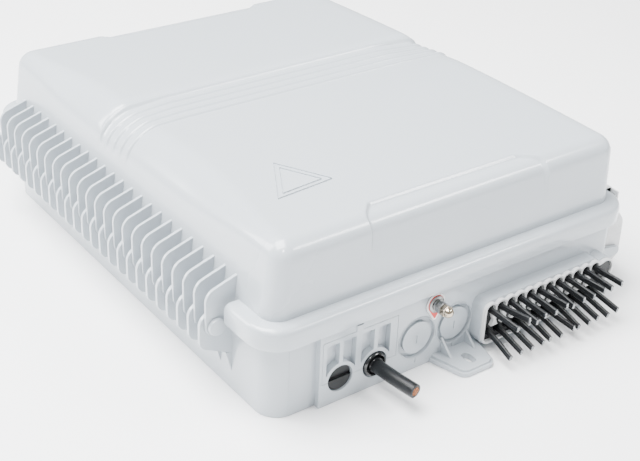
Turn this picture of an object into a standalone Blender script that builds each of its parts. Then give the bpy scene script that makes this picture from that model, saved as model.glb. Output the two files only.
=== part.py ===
"""Fibre termination box: a wall box, lying on its back, that splices one feeder cable to many drop cables.

+Z points from the wall to the lid, Y runs along the lid's hinge and +X points to the latches.
The origin is the middle of the back face. Lengths below are millimetres; MM turns them into Blender's metres.
"""
from math import cos, hypot, pi, radians, sin, sqrt, tan

import bmesh
import bpy
from mathutils import Matrix, Vector

MM = 0.001
GAP = 0.3                      # between pieces that touch

# ---- case ----
BASE_WIDTH = 292.0
BASE_LENGTH = 366.0
BASE_CORNER = 16.0
WALL = 3.0
FLOOR = 3.0
RIM_HEIGHT = 60.0
PANEL_PROUD = 4.4              # how far the port wall stands in front of the corners
PANEL_LEFT = -112.0            # where the port wall begins
PANEL_CORNER = 8.0
GASKET_HEIGHT = 2.4
GASKET_WIDTH = 2.2

# ---- lid ----
LID_TOP = 123.6                # highest line of the lid, in front of the ridges
LID_FRONT_TOP = 122.3
LID_DIP = 118.2                # lowest line of the ridged band
LID_STEP_TOP = 123.4           # front edge of the raised rear part
LID_REAR_TOP = 118.4
STEP_Y = 39.0                  # the raised rear part starts here
BAND_DEPTH = 60.0              # the lid dips over this length in front of the step
SHOULDER_HINGE = 24.0          # shoulder radius on the hinge side
SHOULDER = 12.0                # shoulder radius on the other sides
LID_CORNER = 14.0
LEDGE_HEIGHT = 72.6
LEDGE_THICKNESS = 3.6
SKIRT_OVERHANG = 10.5
SKIRT_DROP = 14.6              # from the ledge down to the skirt's lower edge
SKIRT_WALL = 3.0
SKIRT_CORNER = 22.0

# ---- hinge ----
PIN_OUT = 13.4                 # pin axis, outside the base wall
PIN_HEIGHT = 55.4
PIN_RADIUS = 2.0
PIN_CLEARANCE = 0.5
PIN_HEAD_RADIUS = 6.0
PIN_HEAD = 2.6
FIN_COUNT = 24
FIN_PITCH = 13.0
FIN_FIRST = -142.3
LID_FIN = 2.2
BASE_FIN = 2.6
FIN_REACH = 23.5               # outermost edge of the base fins, outside the wall
LID_FIN_REACH = 20.5
FIN_ROOT_HEIGHT = 88.0
FIN_SHOULDER_HEIGHT = 82.0
LID_KNUCKLE = 6.6
BASE_KNUCKLE = 9.0

# ---- latches ----
LATCH_LENGTH = 30.0
LATCH_OFFSET = 163.0           # latch centres, either side of the middle
LATCH_OUT = 23.5               # outermost face, outside the base wall
LATCH_PIVOT_OUT = 16.5
LATCH_PIVOT_HEIGHT = 24.0
LATCH_PIN_RADIUS = 1.6
EAR = 3.0

# ---- cable ports ----
PORT_RADIUS = 9.6
PORT_X = (-95.5, -68.0)
PORT_HEIGHT = 17.2
CLAMP_RIGHT = -50.5
CLAMP_TOP = 48.5
FEEDER_RADIUS = 4.8
KNOCKOUT_X = (-33.5, -1.5)
KNOCKOUT_HEIGHT = 24.3
KNOCKOUT_RADIUS = 15.2
KNOCKOUT_GROOVE = 3.0
GROOVE_DEPTH = 1.6

# ---- drop cable port ----
DROP_COUNT = 12
DROP_PITCH = 9.0
DROP_FIRST = 19.8
DROP_UPPER = 33.4
DROP_LOWER = 15.0
DROP_RADIUS = 1.9
DROP_LOBE = 4.3
DROP_REACH = 12.5              # how far the frame stands in front of the port wall
FRAME_WALL = 2.2
BLANK_LOBE = 7.4

# ---- earth stud ----
STUD_X = -20.5
STUD_HEIGHT = 46.8
STUD_RADIUS = 2.5

# ---- mounting lugs ----
LUG_REACH = 32.0
LUG_ROOT = 42.0
LUG_TIP = 27.0
LUG_THICKNESS = 5.0
LUG_SLOT = (6.5, 11.0)

# ---- inside ----
BOSS_HEIGHT = 12.0
BOSS_RADIUS = 5.0
PLATE = (-128.0, 128.0, -62.0, 164.0)
PLATE_THICKNESS = 2.0
PANEL_DEPTH = 70.0
PANEL_WIDTH = 190.0
PANEL_THICKNESS = 2.0
PANEL_HINGE_Y = 30.0
PANEL_HINGE_HEIGHT = 36.0
ADAPTER_PITCH = 14.0
ADAPTER = (9.6, 27.0, 12.4)
TRAY_WIDTH = 158.0
TRAY_DEPTH = 82.0
TRAY_HEIGHT = 11.0
TRAY_WALL = 2.0
TRAY_FRONT = 74.0
TRAY_LEFT = -124.0
SPLITTER = (82.0, 70.0, 12.0)
SCREW_RADIUS = 1.7

HALF_W = BASE_WIDTH / 2
HALF_L = BASE_LENGTH / 2
PORT_WALL = -(HALF_L + PANEL_PROUD)
INNER_FRONT = -(HALF_L - WALL)
SEAM = RIM_HEIGHT + GASKET_HEIGHT + 2 * GAP
PIN_X = -(HALF_W + PIN_OUT)
SKIRT_BOTTOM = LEDGE_HEIGHT - SKIRT_DROP
PLATE_TOP = BOSS_HEIGHT + GAP + PLATE_THICKNESS

COLOURS = {
    "case": ((0.78, 0.80, 0.81), 0.35, 0.0),
    "latch": ((0.86, 0.86, 0.85), 0.3, 0.0),
    "rubber": ((0.02, 0.02, 0.022), 0.55, 0.0),
    "jacket": ((0.025, 0.027, 0.03), 0.4, 0.0),
    "steel": ((0.62, 0.62, 0.6), 0.3, 1.0),
    "nickel": ((0.72, 0.68, 0.6), 0.2, 1.0),
    "tag": ((0.75, 0.06, 0.03), 0.4, 0.0),
    "sheet": ((0.6, 0.62, 0.63), 0.4, 0.6),
    "adapter": ((0.02, 0.35, 0.16), 0.35, 0.0),
    "tray": ((0.75, 0.77, 0.78), 0.4, 0.0),
    "module": ((0.12, 0.12, 0.13), 0.45, 0.0),
}


# ---------------------------------------------------------------- scene and object helpers
def start_scene():
    for old in list(bpy.data.objects):
        bpy.data.objects.remove(old, do_unlink=True)
    groups = []
    for name in ("fibre_termination_box", "cutters"):
        group = bpy.data.collections.new(name)
        bpy.context.scene.collection.children.link(group)
        groups.append(group)
    return groups


MODEL, CUTTERS = start_scene()


def material(key):
    found = bpy.data.materials.get(key)
    if found:
        return found
    colour, roughness, metallic = COLOURS[key]
    made = bpy.data.materials.new(key)
    made.use_nodes = True
    shader = made.node_tree.nodes["Principled BSDF"]
    shader.inputs["Base Color"].default_value = (*colour, 1.0)
    shader.inputs["Roughness"].default_value = roughness
    shader.inputs["Metallic"].default_value = metallic
    made.diffuse_color = (*colour, 1.0)
    return made


def piece(name, bm, key, smooth=False):
    """Turn a bmesh in millimetres into one named object in metres."""
    bmesh.ops.scale(bm, verts=bm.verts, vec=(MM, MM, MM))
    bmesh.ops.remove_doubles(bm, verts=bm.verts, dist=1e-7)
    bmesh.ops.recalc_face_normals(bm, faces=bm.faces)
    mesh = bpy.data.meshes.new(name)
    bm.to_mesh(mesh)
    bm.free()
    mesh.materials.append(material(key))
    if smooth:
        mesh.shade_smooth()
        mesh.set_sharp_from_angle(angle=radians(35))
    made = bpy.data.objects.new(name, mesh)
    MODEL.objects.link(made)
    return made


def cutter(bm, name="cutter"):
    made = piece(name, bm, "case")
    MODEL.objects.unlink(made)
    CUTTERS.objects.link(made)
    made.hide_render = True
    made.display_type = "WIRE"
    return made


def boolean(target, tool, operation):
    modifier = target.modifiers.new(operation.lower(), "BOOLEAN")
    modifier.operation = operation
    modifier.solver = "EXACT"
    modifier.object = tool
    return modifier


def union(target, bm):
    return boolean(target, cutter(bm, target.name + "_add"), "UNION")


def cut(target, bm):
    return boolean(target, cutter(bm, target.name + "_cut"), "DIFFERENCE")


# ---------------------------------------------------------------- shape helpers
def merge(*parts):
    """Put several shapes that do not touch into one bmesh."""
    whole = bmesh.new()
    for part in parts:
        mesh = bpy.data.meshes.new("part")
        part.to_mesh(mesh)
        part.free()
        whole.from_mesh(mesh)
        bpy.data.meshes.remove(mesh)
    return whole


def box(x0, x1, y0, y1, z0, z1):
    bm = bmesh.new()
    middle = Vector(((x0 + x1) / 2, (y0 + y1) / 2, (z0 + z1) / 2))
    size = Matrix.Diagonal((x1 - x0, y1 - y0, z1 - z0, 1.0))
    bmesh.ops.create_cube(bm, size=1.0, matrix=Matrix.Translation(middle) @ size)
    return bm


def along(axis):
    """Rotation that turns +Z onto the given axis letter."""
    turns = {"X": Matrix.Rotation(pi / 2, 4, "Y"), "Y": Matrix.Rotation(-pi / 2, 4, "X"), "Z": Matrix.Identity(4)}
    return turns[axis]


def cylinder(start, length, radius, axis="Z", sides=16, tip=None):
    """Cylinder, or a cone that ends at radius tip, from start along +axis."""
    bm = bmesh.new()
    bmesh.ops.create_cone(
        bm, cap_ends=True, cap_tris=False, segments=sides, radius1=radius,
        radius2=radius if tip is None else tip, depth=length,
        matrix=Matrix.Translation(Vector(start)) @ along(axis) @ Matrix.Translation((0, 0, length / 2)))
    return bm


def ring(start, length, outer, inner, axis="Z", sides=16):
    """Tube with a square section, as a spun rectangle."""
    bm = bmesh.new()
    corners = [bm.verts.new(p) for p in ((inner, 0, 0), (outer, 0, 0), (outer, 0, length), (inner, 0, length))]
    edges = [bm.edges.new((corners[i], corners[(i + 1) % 4])) for i in range(4)]
    bmesh.ops.spin(bm, geom=corners + edges, axis=(0, 0, 1), cent=(0, 0, 0), steps=sides, angle=2 * pi, use_merge=True)
    bmesh.ops.transform(bm, matrix=Matrix.Translation(Vector(start)) @ along(axis), verts=bm.verts)
    return bm


def arc(cx, cy, radius, start, end, count):
    """Points on an arc, angles in degrees, both ends included."""
    return [(cx + radius * cos(radians(start + (end - start) * i / count)),
             cy + radius * sin(radians(start + (end - start) * i / count))) for i in range(count + 1)]


def rounded(x0, x1, y0, y1, radius, count=4):
    """Outline of a rectangle with round corners, counter-clockwise."""
    corners = ((x1 - radius, y0 + radius, -90), (x1 - radius, y1 - radius, 0),
               (x0 + radius, y1 - radius, 90), (x0 + radius, y0 + radius, 180))
    points = []
    for cx, cy, start in corners:
        points += arc(cx, cy, radius, start, start + 90, count)
    return points


def plate(outline, holes, low, high, plane="XY"):
    """Flat outline with holes, as a filled 2D curve, extruded from low to high along the plane's normal."""
    curve = bpy.data.curves.new("outline", "CURVE")
    curve.dimensions = "2D"
    curve.fill_mode = "BOTH"
    curve.extrude = (high - low) / 2
    for loop in [outline, *holes]:
        spline = curve.splines.new("POLY")
        spline.points.add(len(loop) - 1)
        spline.use_cyclic_u = True
        for point, (u, v) in zip(spline.points, loop):
            point.co = (u, v, 0, 1)
    guide = bpy.data.objects.new("outline", curve)
    bpy.context.scene.collection.objects.link(guide)
    bpy.context.view_layer.update()
    mesh = bpy.data.meshes.new_from_object(guide.evaluated_get(bpy.context.evaluated_depsgraph_get()))
    bm = bmesh.new()
    bm.from_mesh(mesh)
    bpy.data.objects.remove(guide)
    bpy.data.curves.remove(curve)
    bpy.data.meshes.remove(mesh)
    bmesh.ops.remove_doubles(bm, verts=bm.verts, dist=1e-4)
    turns = {"XY": Matrix.Identity(4),
             "XZ": Matrix(((1, 0, 0, 0), (0, 0, 1, 0), (0, 1, 0, 0), (0, 0, 0, 1))),
             "YZ": Matrix(((0, 0, 1, 0), (1, 0, 0, 0), (0, 1, 0, 0), (0, 0, 0, 1)))}
    bmesh.ops.transform(bm, matrix=turns[plane] @ Matrix.Translation((0, 0, (low + high) / 2)), verts=bm.verts)
    bmesh.ops.recalc_face_normals(bm, faces=bm.faces)
    return bm


def loft(sections, closed=False):
    """Skin through sections that have the same number of points; the two end sections are capped."""
    bm = bmesh.new()
    rows = [[bm.verts.new(p) for p in section] for section in sections]
    count = len(rows[0])
    pairs = list(zip(rows, rows[1:]))
    if closed:
        pairs.append((rows[-1], rows[0]))
    for lower, upper in pairs:
        for i in range(count):
            j = (i + 1) % count
            bm.faces.new((lower[i], lower[j], upper[j], upper[i]))
    if not closed:
        bm.faces.new(rows[0])
        bm.faces.new(rows[-1])
    bmesh.ops.recalc_face_normals(bm, faces=bm.faces)
    return bm


def level(outline, z):
    return [(x, y, z) for x, y in outline]


def case_outline(outside, corner, count=4):
    """The base's plan, moved outwards by outside."""
    return rounded(-HALF_W - outside, HALF_W + outside, -HALF_L - outside, HALF_L + outside, corner, count)


# ---------------------------------------------------------------- base
def lug(sign):
    """Mounting lug at the front (-1) or rear (+1), with two gussets; its slot is cut later."""
    wall = HALF_L + (PANEL_PROUD if sign < 0 else 0)
    tip = HALF_L + LUG_REACH
    outline = [(-LUG_ROOT / 2, sign * (wall - WALL)), (LUG_ROOT / 2, sign * (wall - WALL)),
               (LUG_ROOT / 2, sign * wall), (LUG_TIP / 2, sign * (tip - 3)), (LUG_TIP / 2 - 3, sign * tip),
               (-LUG_TIP / 2 + 3, sign * tip), (-LUG_TIP / 2, sign * (tip - 3)), (-LUG_ROOT / 2, sign * wall)]
    return plate(outline, [], 0, LUG_THICKNESS)


def gusset(sign, x):
    wall = HALF_L + (PANEL_PROUD if sign < 0 else 0)
    profile = [(sign * (wall - 1), LUG_THICKNESS - 1), (sign * (wall + 10), LUG_THICKNESS - 1),
               (sign * (wall + 10), LUG_THICKNESS + 0.4), (sign * (wall - 1), LUG_THICKNESS + 10)]
    return plate(profile, [], x - 0.9, x + 0.9, "YZ")


def lug_slot(sign):
    width, length = LUG_SLOT
    middle = sign * (HALF_L + LUG_REACH - 12)
    straight = (length - width) / 2
    outline = arc(0, middle + straight, width / 2, 0, 180, 12) + arc(0, middle - straight, width / 2, 180, 360, 12)
    return plate(outline, [], -1, LUG_THICKNESS + 1)


def base_fin(index):
    """One fin on the base: a plate with a round head about the pin and a raking lower edge."""
    start = FIN_FIRST + index * FIN_PITCH + LID_FIN / 2 + 0.5
    outer = -(HALF_W + FIN_REACH)
    wall = -HALF_W + 0.5
    foot = PIN_HEIGHT - 15.5
    outline = arc(PIN_X, PIN_HEIGHT, BASE_KNUCKLE, 40, 180, 5)
    outline += arc(outer + 4, foot + 4, 4, 180, 270, 2)
    outline += [(wall, foot - 11), (wall, PIN_HEIGHT)]
    hole = arc(PIN_X, PIN_HEIGHT, PIN_RADIUS + PIN_CLEARANCE, 0, 315, 7)
    return plate(outline, [hole], start, start + BASE_FIN, "XZ")


def base_ears():
    """Two ears for each latch pin."""
    ears = []
    for sign in (-1, 1):
        for side in (-1, 1):
            inner = sign * LATCH_OFFSET + side * (LATCH_LENGTH / 2 + GAP)
            low, high = sorted((inner, inner + side * EAR))
            x = HALF_W + LATCH_PIVOT_OUT
            outline = [(HALF_W - 8, LATCH_PIVOT_HEIGHT - 9), (x, LATCH_PIVOT_HEIGHT - 4.5)]
            outline += arc(x, LATCH_PIVOT_HEIGHT, 4.5, -60, 90, 4) + [(HALF_W - 8, LATCH_PIVOT_HEIGHT + 9)]
            hole = arc(x, LATCH_PIVOT_HEIGHT, LATCH_PIN_RADIUS + 0.3, 0, 315, 7)
            ears.append(plate(outline, [hole], low, high, "XZ"))
    return ears


PLATE_BOSSES = [(PLATE[i] + (8 if i == 0 else -8), PLATE[j] + (8 if j == 2 else -8)) for j in (2, 3) for i in (0, 1)]
CLAMP_SCREW_X = (PORT_X[1] - 13, PORT_X[1] + 13)
CLAMP_Y = INNER_FRONT + 15.0


def build_base():
    base = piece("base_shell", loft([level(case_outline(-1.0, BASE_CORNER - 1), 0),
                                     level(case_outline(0, BASE_CORNER), 1.0),
                                     level(case_outline(0, BASE_CORNER), RIM_HEIGHT)]), "case")
    port_wall = [(PANEL_LEFT, -HALF_L + 30), (PANEL_LEFT, PORT_WALL + 1), (PANEL_LEFT + 1, PORT_WALL)]
    port_wall += arc(HALF_W - PANEL_CORNER, PORT_WALL + PANEL_CORNER, PANEL_CORNER, -90, 0, 4)
    port_wall += [(HALF_W, -HALF_L + 30)]
    union(base, plate(port_wall, [], 0, RIM_HEIGHT))
    for sign in (-1, 1):
        union(base, lug(sign))
        union(base, merge(gusset(sign, -10.5), gusset(sign, 10.5)))
    union(base, merge(*(base_fin(i) for i in range(FIN_COUNT))))
    union(base, merge(*base_ears()))
    inside = case_outline(-WALL, BASE_CORNER - WALL)
    cut(base, loft([level(inside, FLOOR), level(inside, RIM_HEIGHT + 5)]))
    bosses = [cylinder((x, y, FLOOR - 1), BOSS_HEIGHT - FLOOR + 1, BOSS_RADIUS, sides=12) for x, y in PLATE_BOSSES]
    bosses.append(box(CLAMP_SCREW_X[0] - 5, CLAMP_SCREW_X[1] + 5, CLAMP_Y - 4, CLAMP_Y + 4, FLOOR - 1, PORT_HEIGHT - GAP))
    union(base, merge(*bosses))

    window = box(PANEL_LEFT + 2, CLAMP_RIGHT, PORT_WALL - 1, INNER_FRONT + 1, PORT_HEIGHT, CLAMP_TOP)
    cut(base, window)
    for x in PORT_X:
        cut(base, cylinder((x, PORT_WALL - 1, PORT_HEIGHT), PANEL_PROUD + WALL + 2, PORT_RADIUS, "Y", 24))
    for x in KNOCKOUT_X:
        groove = ring((x, PORT_WALL - 1, KNOCKOUT_HEIGHT), 1 + GROOVE_DEPTH, KNOCKOUT_RADIUS,
                      KNOCKOUT_RADIUS - KNOCKOUT_GROOVE, "Y", 28)
        cut(base, groove)
    opening = plate(seal_outline(0), [], PORT_WALL - 1, INNER_FRONT + 8, "XZ")
    cut(base, opening)
    cut(base, cylinder((STUD_X, PORT_WALL - 1, STUD_HEIGHT), PANEL_PROUD + WALL + 2, STUD_RADIUS + 0.4, "Y", 12))
    cut(base, merge(lug_slot(-1), lug_slot(1)))
    holes = [cylinder((x, y, FLOOR), BOSS_HEIGHT, SCREW_RADIUS + 0.3, sides=8) for x, y in PLATE_BOSSES]
    holes += [cylinder((x, CLAMP_Y, FLOOR), PORT_HEIGHT, SCREW_RADIUS + 0.3, sides=8) for x in CLAMP_SCREW_X]
    cut(base, merge(*holes))
    channel = cylinder((PORT_X[1], CLAMP_Y - 6, PORT_HEIGHT), 12, FEEDER_RADIUS + 0.4, "Y", 12)
    cut(base, channel)
    return base


# ---------------------------------------------------------------- lid
def side_in(z, radius, top, draft, thickness=0.0):
    """How far a lid wall has come in from the base's outline at height z."""
    centre = top - radius
    lean = tan(radians(draft))
    wall = (min(z, centre) - LEDGE_HEIGHT) * lean if z > LEDGE_HEIGHT else 0.0
    if z > centre:
        wall += radius - sqrt(max(radius * radius - (z - centre) ** 2, 0.0))
    return wall + thickness


def lid_height(y):
    """Height of the lid's top along its length."""
    start = STEP_Y - BAND_DEPTH
    if y < start:
        return LID_FRONT_TOP + (LID_TOP - LID_FRONT_TOP) * (y + HALF_L) / (start + HALF_L)
    if y < STEP_Y:
        share = (y - start) / BAND_DEPTH
        return LID_TOP + (LID_DIP - LID_TOP) * share * share
    return LID_STEP_TOP + (LID_REAR_TOP - LID_STEP_TOP) * (y - STEP_Y) / (HALF_L - STEP_Y)


def lid_section(y, thickness, bottom):
    """One slice of the lid across X at a place along its length; thickness moves it inwards."""
    end = HALF_L - thickness - abs(y)
    top = lid_height(y) - thickness
    corner = LID_CORNER - thickness
    shoulder = SHOULDER - thickness
    plan = corner - sqrt(max(corner ** 2 - (corner - end) ** 2, 0)) if end < corner else 0.0
    drop = shoulder - sqrt(max(shoulder ** 2 - (shoulder - end) ** 2, 0)) if end < shoulder else 0.0
    top -= drop
    points = []
    for sign, radius, draft in ((-1, SHOULDER_HINGE - thickness, 8), (1, shoulder, 2)):
        radius = min(radius, top - LEDGE_HEIGHT - 2)
        heights = [bottom, LEDGE_HEIGHT + 1]
        heights += [top - radius * (1 - sin(radians(step * 22.5))) for step in range(5)]
        side = [(sign * (HALF_W - plan - side_in(z, radius, top, draft, thickness)), y, z) for z in heights]
        points += side if sign < 0 else side[::-1]
    return points


def lid_stations(thickness):
    """Places along the lid where its slice changes."""
    end = HALF_L - thickness
    rise = (0.0, 1.0, 4.0, 8.5, LID_CORNER)
    front = [-end + step for step in rise]
    middle = [-100.0, STEP_Y - BAND_DEPTH, STEP_Y - BAND_DEPTH / 2, STEP_Y - 0.01, STEP_Y + 5, 120.0]
    return front + middle + [end - step for step in reversed(rise)]


def lid_body(thickness, bottom):
    return loft([lid_section(y, thickness, bottom) for y in lid_stations(thickness)])


def skirt():
    """The lid's rim: a ledge outside the dome and a skirt that hangs over the base."""
    outer = SKIRT_OVERHANG
    inner = outer - SKIRT_WALL
    corner = SKIRT_CORNER
    rows = [(outer, corner, SKIRT_BOTTOM), (outer, corner, LEDGE_HEIGHT - 1.5),
            (outer - 1.5, corner - 1.5, LEDGE_HEIGHT), (-1.0, corner - outer - 1, LEDGE_HEIGHT),
            (-1.0, corner - outer - 1, LEDGE_HEIGHT - LEDGE_THICKNESS),
            (inner, corner - SKIRT_WALL, LEDGE_HEIGHT - LEDGE_THICKNESS), (inner, corner - SKIRT_WALL, SKIRT_BOTTOM)]
    return loft([level(case_outline(out, radius), z) for out, radius, z in rows], closed=True)


def lid_fin(index):
    """One fin on the lid: raking top edge, round outer corner, knuckle about the pin."""
    middle = FIN_FIRST + index * FIN_PITCH
    outer = -(HALF_W + LID_FIN_REACH)
    root = -(HALF_W - 4.0)
    outline = [(root, FIN_ROOT_HEIGHT), (outer + 7, FIN_SHOULDER_HEIGHT)]
    outline += arc(outer + 7, FIN_SHOULDER_HEIGHT - 7, 7, 100, 180, 3)
    outline += arc(PIN_X, PIN_HEIGHT, LID_KNUCKLE, 180, 340, 5)
    outline += [(-HALF_W - 3.5, SEAM + 3), (root, SEAM + 3)]
    hole = arc(PIN_X, PIN_HEIGHT, PIN_RADIUS + PIN_CLEARANCE, 0, 315, 7)
    return plate(outline, [hole], middle - LID_FIN / 2, middle + LID_FIN / 2, "XZ")


def build_lid():
    lid = piece("lid_shell", lid_body(0.0, SEAM), "case")
    rim = piece("lid_rim", skirt(), "case")
    MODEL.objects.unlink(rim)
    CUTTERS.objects.link(rim)
    rim.hide_render = True
    rim.display_type = "WIRE"
    first = FIN_FIRST - LID_FIN / 2 - PIN_HEAD - 2.0
    last = FIN_FIRST + (FIN_COUNT - 1) * FIN_PITCH + LID_FIN / 2 + BASE_FIN + 3.0
    cut(rim, box(-HALF_W - 40, -HALF_W, first, last, SKIRT_BOTTOM - 5, LEDGE_HEIGHT + 5))
    boolean(lid, rim, "UNION")
    union(lid, merge(*(lid_fin(i) for i in range(FIN_COUNT))))
    cut(lid, lid_body(WALL, SEAM - 5))
    return lid


def build_gasket():
    middle = WALL / 2
    outer = middle - GASKET_WIDTH / 2
    inner = middle + GASKET_WIDTH / 2
    low = RIM_HEIGHT + GAP
    rows = [(outer, low), (outer, low + GASKET_HEIGHT), (inner, low + GASKET_HEIGHT), (inner, low)]
    piece("lid_gasket", loft([level(case_outline(-inset, BASE_CORNER - inset), z) for inset, z in rows], closed=True),
          "rubber")


def build_hinge_pin():
    start = FIN_FIRST - LID_FIN / 2 - GAP - PIN_HEAD
    end = FIN_FIRST + (FIN_COUNT - 1) * FIN_PITCH + LID_FIN + BASE_FIN + 2
    pin = piece("hinge_pin", cylinder((PIN_X, start + 1, PIN_HEIGHT), end - start - 1, PIN_RADIUS, "Y", 12), "case")
    union(pin, cylinder((PIN_X, start, PIN_HEIGHT), PIN_HEAD, PIN_HEAD_RADIUS, "Y", 20))


# ---------------------------------------------------------------- latches
def build_latch(name, sign):
    """A clip that pivots low on the base and reaches up beside the lid's skirt."""
    x = HALF_W + LATCH_PIVOT_OUT
    z = LATCH_PIVOT_HEIGHT
    inner = HALF_W + SKIRT_OVERHANG + 0.6
    outer = HALF_W + LATCH_OUT
    top = LEDGE_HEIGHT + 3.6
    outline = arc(x, z, 3.6, 130, 230, 3) + arc(outer - 6, z - 5, 6, 270, 360, 4)
    outline += [(outer, z + 17), (outer - 2.5, z + 30), (outer - 5, top - 2), (outer - 7, top), (inner, top),
                (inner, top - 2.6), (inner + 1.4, top - 3), (inner + 2.2, z + 12)]
    hole = arc(x, z, LATCH_PIN_RADIUS + 0.3, 0, 315, 7)
    low = sign * LATCH_OFFSET - LATCH_LENGTH / 2
    piece(name, plate(outline, [hole], low, low + LATCH_LENGTH, "XZ"), "latch")
    reach = LATCH_LENGTH + 2 * (GAP + EAR)
    start = sign * LATCH_OFFSET - reach / 2
    piece(name.replace("latch", "latch_pin"), cylinder((x, start, z), reach, LATCH_PIN_RADIUS, "Y", 10), "steel")


# ---------------------------------------------------------------- cable ports
def build_clamp():
    """Upper half of the cable entry: a ribbed insert that closes down on both cable ports."""
    left = PANEL_LEFT + 2 + GAP
    right = CLAMP_RIGHT - GAP
    low = PORT_HEIGHT + GAP
    high = CLAMP_TOP - GAP
    clamp = piece("cable_entry_clamp", box(left, right, PORT_WALL, INNER_FRONT, low, high), "case")
    for x in PORT_X:
        cut(clamp, cylinder((x, PORT_WALL - 1, PORT_HEIGHT), PANEL_PROUD + WALL + 2, PORT_RADIUS, "Y", 24))
        boss = arc(x, PORT_HEIGHT, PORT_RADIUS + 2.6, 35, 84, 3)
        for side in (-1, 1):
            pocket = [(x + side * (u - x), v) for u, v in boss]
            pocket = [*pocket, (x + side * 1.3, high - 2.2), (x + side * 11.6, high - 2.2), (x + side * 11.6, pocket[0][1])]
            cut(clamp, plate(pocket, [], PORT_WALL - 1, INNER_FRONT - 1.5, "XZ"))


def build_feeder():
    x = PORT_X[1]
    start = PORT_WALL - 2.4
    grommet = ring((x, start, PORT_HEIGHT), INNER_FRONT - start + 3, PORT_RADIUS - GAP, FEEDER_RADIUS + GAP, "Y", 24)
    piece("feeder_grommet", grommet, "rubber")
    plug = piece("blank_plug", cylinder((PORT_X[0], PORT_WALL + 0.8, PORT_HEIGHT), PANEL_PROUD + WALL + 2,
                                        PORT_RADIUS - GAP, "Y", 24), "rubber")
    cut(plug, box(PORT_X[0] - 12, PORT_X[0] + 12, PORT_WALL - 2, PORT_WALL + 2, PORT_HEIGHT, PORT_HEIGHT + 12))

    cap = box(CLAMP_SCREW_X[0] - 5, CLAMP_SCREW_X[1] + 5, CLAMP_Y - 4, CLAMP_Y + 4, PORT_HEIGHT + GAP, PORT_HEIGHT + 7)
    cap = piece("feeder_clamp", cap, "steel")
    cut(cap, cylinder((x, CLAMP_Y - 6, PORT_HEIGHT), 12, FEEDER_RADIUS + 0.4, "Y", 12))
    for side, screw_x in zip(("left", "right"), CLAMP_SCREW_X):
        cut(cap, cylinder((screw_x, CLAMP_Y, PORT_HEIGHT - 2), 12, SCREW_RADIUS + 0.3, sides=8))
        screw("clamp_screw_" + side, screw_x, CLAMP_Y, PORT_HEIGHT + 7 + GAP, 14.0)


def screw(name, x, y, seat, length):
    """Pan-head screw whose head sits at height seat."""
    made = piece(name, cylinder((x, y, seat - length), length + 1, SCREW_RADIUS, sides=8), "steel")
    union(made, cylinder((x, y, seat), 2.2, 3.2, sides=12, tip=2.4))


# ---------------------------------------------------------------- drop cable port
def drop_places():
    for row, z in (("upper", DROP_UPPER), ("lower", DROP_LOWER)):
        for k in range(DROP_COUNT):
            yield row, k, DROP_FIRST + DROP_PITCH * k, z


def seal_outline(outside):
    """Front view of the drop cable seal: a lobe over each cable and one blank lobe at the right-hand end."""
    points = []
    last = DROP_FIRST + DROP_PITCH * (DROP_COUNT - 1)
    radius = DROP_LOBE + outside
    low = DROP_LOWER - DROP_LOBE - 3.0 - outside
    spread = 40
    blank_x = last + DROP_LOBE + BLANK_LOBE
    points += arc(blank_x, DROP_UPPER - 6.0, BLANK_LOBE + outside, -20, 100, 6)
    for k in reversed(range(DROP_COUNT)):
        x = DROP_FIRST + DROP_PITCH * k
        points += arc(x, DROP_UPPER, radius, 90 - spread, 180 if k == 0 else 90 + spread, 4)
    points += arc(DROP_FIRST, low + radius, radius, 180, 270, 3)
    points += arc(last, low + radius, radius, 270, 350, 3)
    return points


def build_drop_port():
    front = PORT_WALL - DROP_REACH
    frame = plate(seal_outline(FRAME_WALL), [seal_outline(GAP)], front, PORT_WALL - GAP, "XZ")
    piece("drop_port_frame", frame, "case")
    holes = [arc(x, z, DROP_RADIUS + 0.45, 0, 315, 7) for _, _, x, z in drop_places()]
    seal = plate(seal_outline(-GAP), holes, front + 1.4, INNER_FRONT + 6, "XZ")
    piece("drop_port_seal", seal, "rubber")
    middle = (DROP_UPPER + DROP_LOWER) / 2
    upper = []
    lower = []
    for k in range(DROP_COUNT - 1):
        x = DROP_FIRST + DROP_PITCH * (k + 0.5)
        upper += [(x + 1.2, middle + 0.5), (x + 2.9, middle + 4.2), (x - 2.9, middle + 4.2), (x - 1.2, middle + 0.5)][::-1]
        lower += [(x - 1.2, middle - 0.5), (x - 2.9, middle - 4.2), (x + 2.9, middle - 4.2), (x + 1.2, middle - 0.5)]
    divider = plate(lower + upper[::-1], [], front - 0.1, front + 1.4 - GAP, "XZ")
    piece("drop_port_divider", divider, "latch")


# ---------------------------------------------------------------- free cables
def smooth_path(route, step):
    """Points read from one smooth curve through the route's own points, about step apart."""
    ends = [2 * route[0] - route[1], *route, 2 * route[-1] - route[-2]]
    path = []
    for a, b, c, d in zip(ends, ends[1:], ends[2:], ends[3:]):
        pieces = max(1, round((c - b).length / step))
        for i in range(pieces):
            t = i / pieces
            path.append(0.5 * (2 * b + (c - a) * t + (2 * a - 5 * b + 4 * c - d) * t * t
                               + (3 * b - a - 3 * c + d) * t ** 3))
    return [*path, route[-1]]


def cable(name, route, radius, step):
    curve = bpy.data.curves.new(name, "CURVE")
    curve.dimensions = "3D"
    curve.bevel_depth = radius * MM
    curve.bevel_resolution = 2
    curve.use_fill_caps = True
    curve.render_resolution_u = 0
    path = smooth_path([Vector(p) for p in route], step)
    spline = curve.splines.new("POLY")
    spline.points.add(len(path) - 1)
    for point, place in zip(spline.points, path):
        point.co = (*(place * MM), 1)
    curve.materials.append(material("jacket"))
    made = bpy.data.objects.new(name, curve)
    MODEL.objects.link(made)


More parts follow.
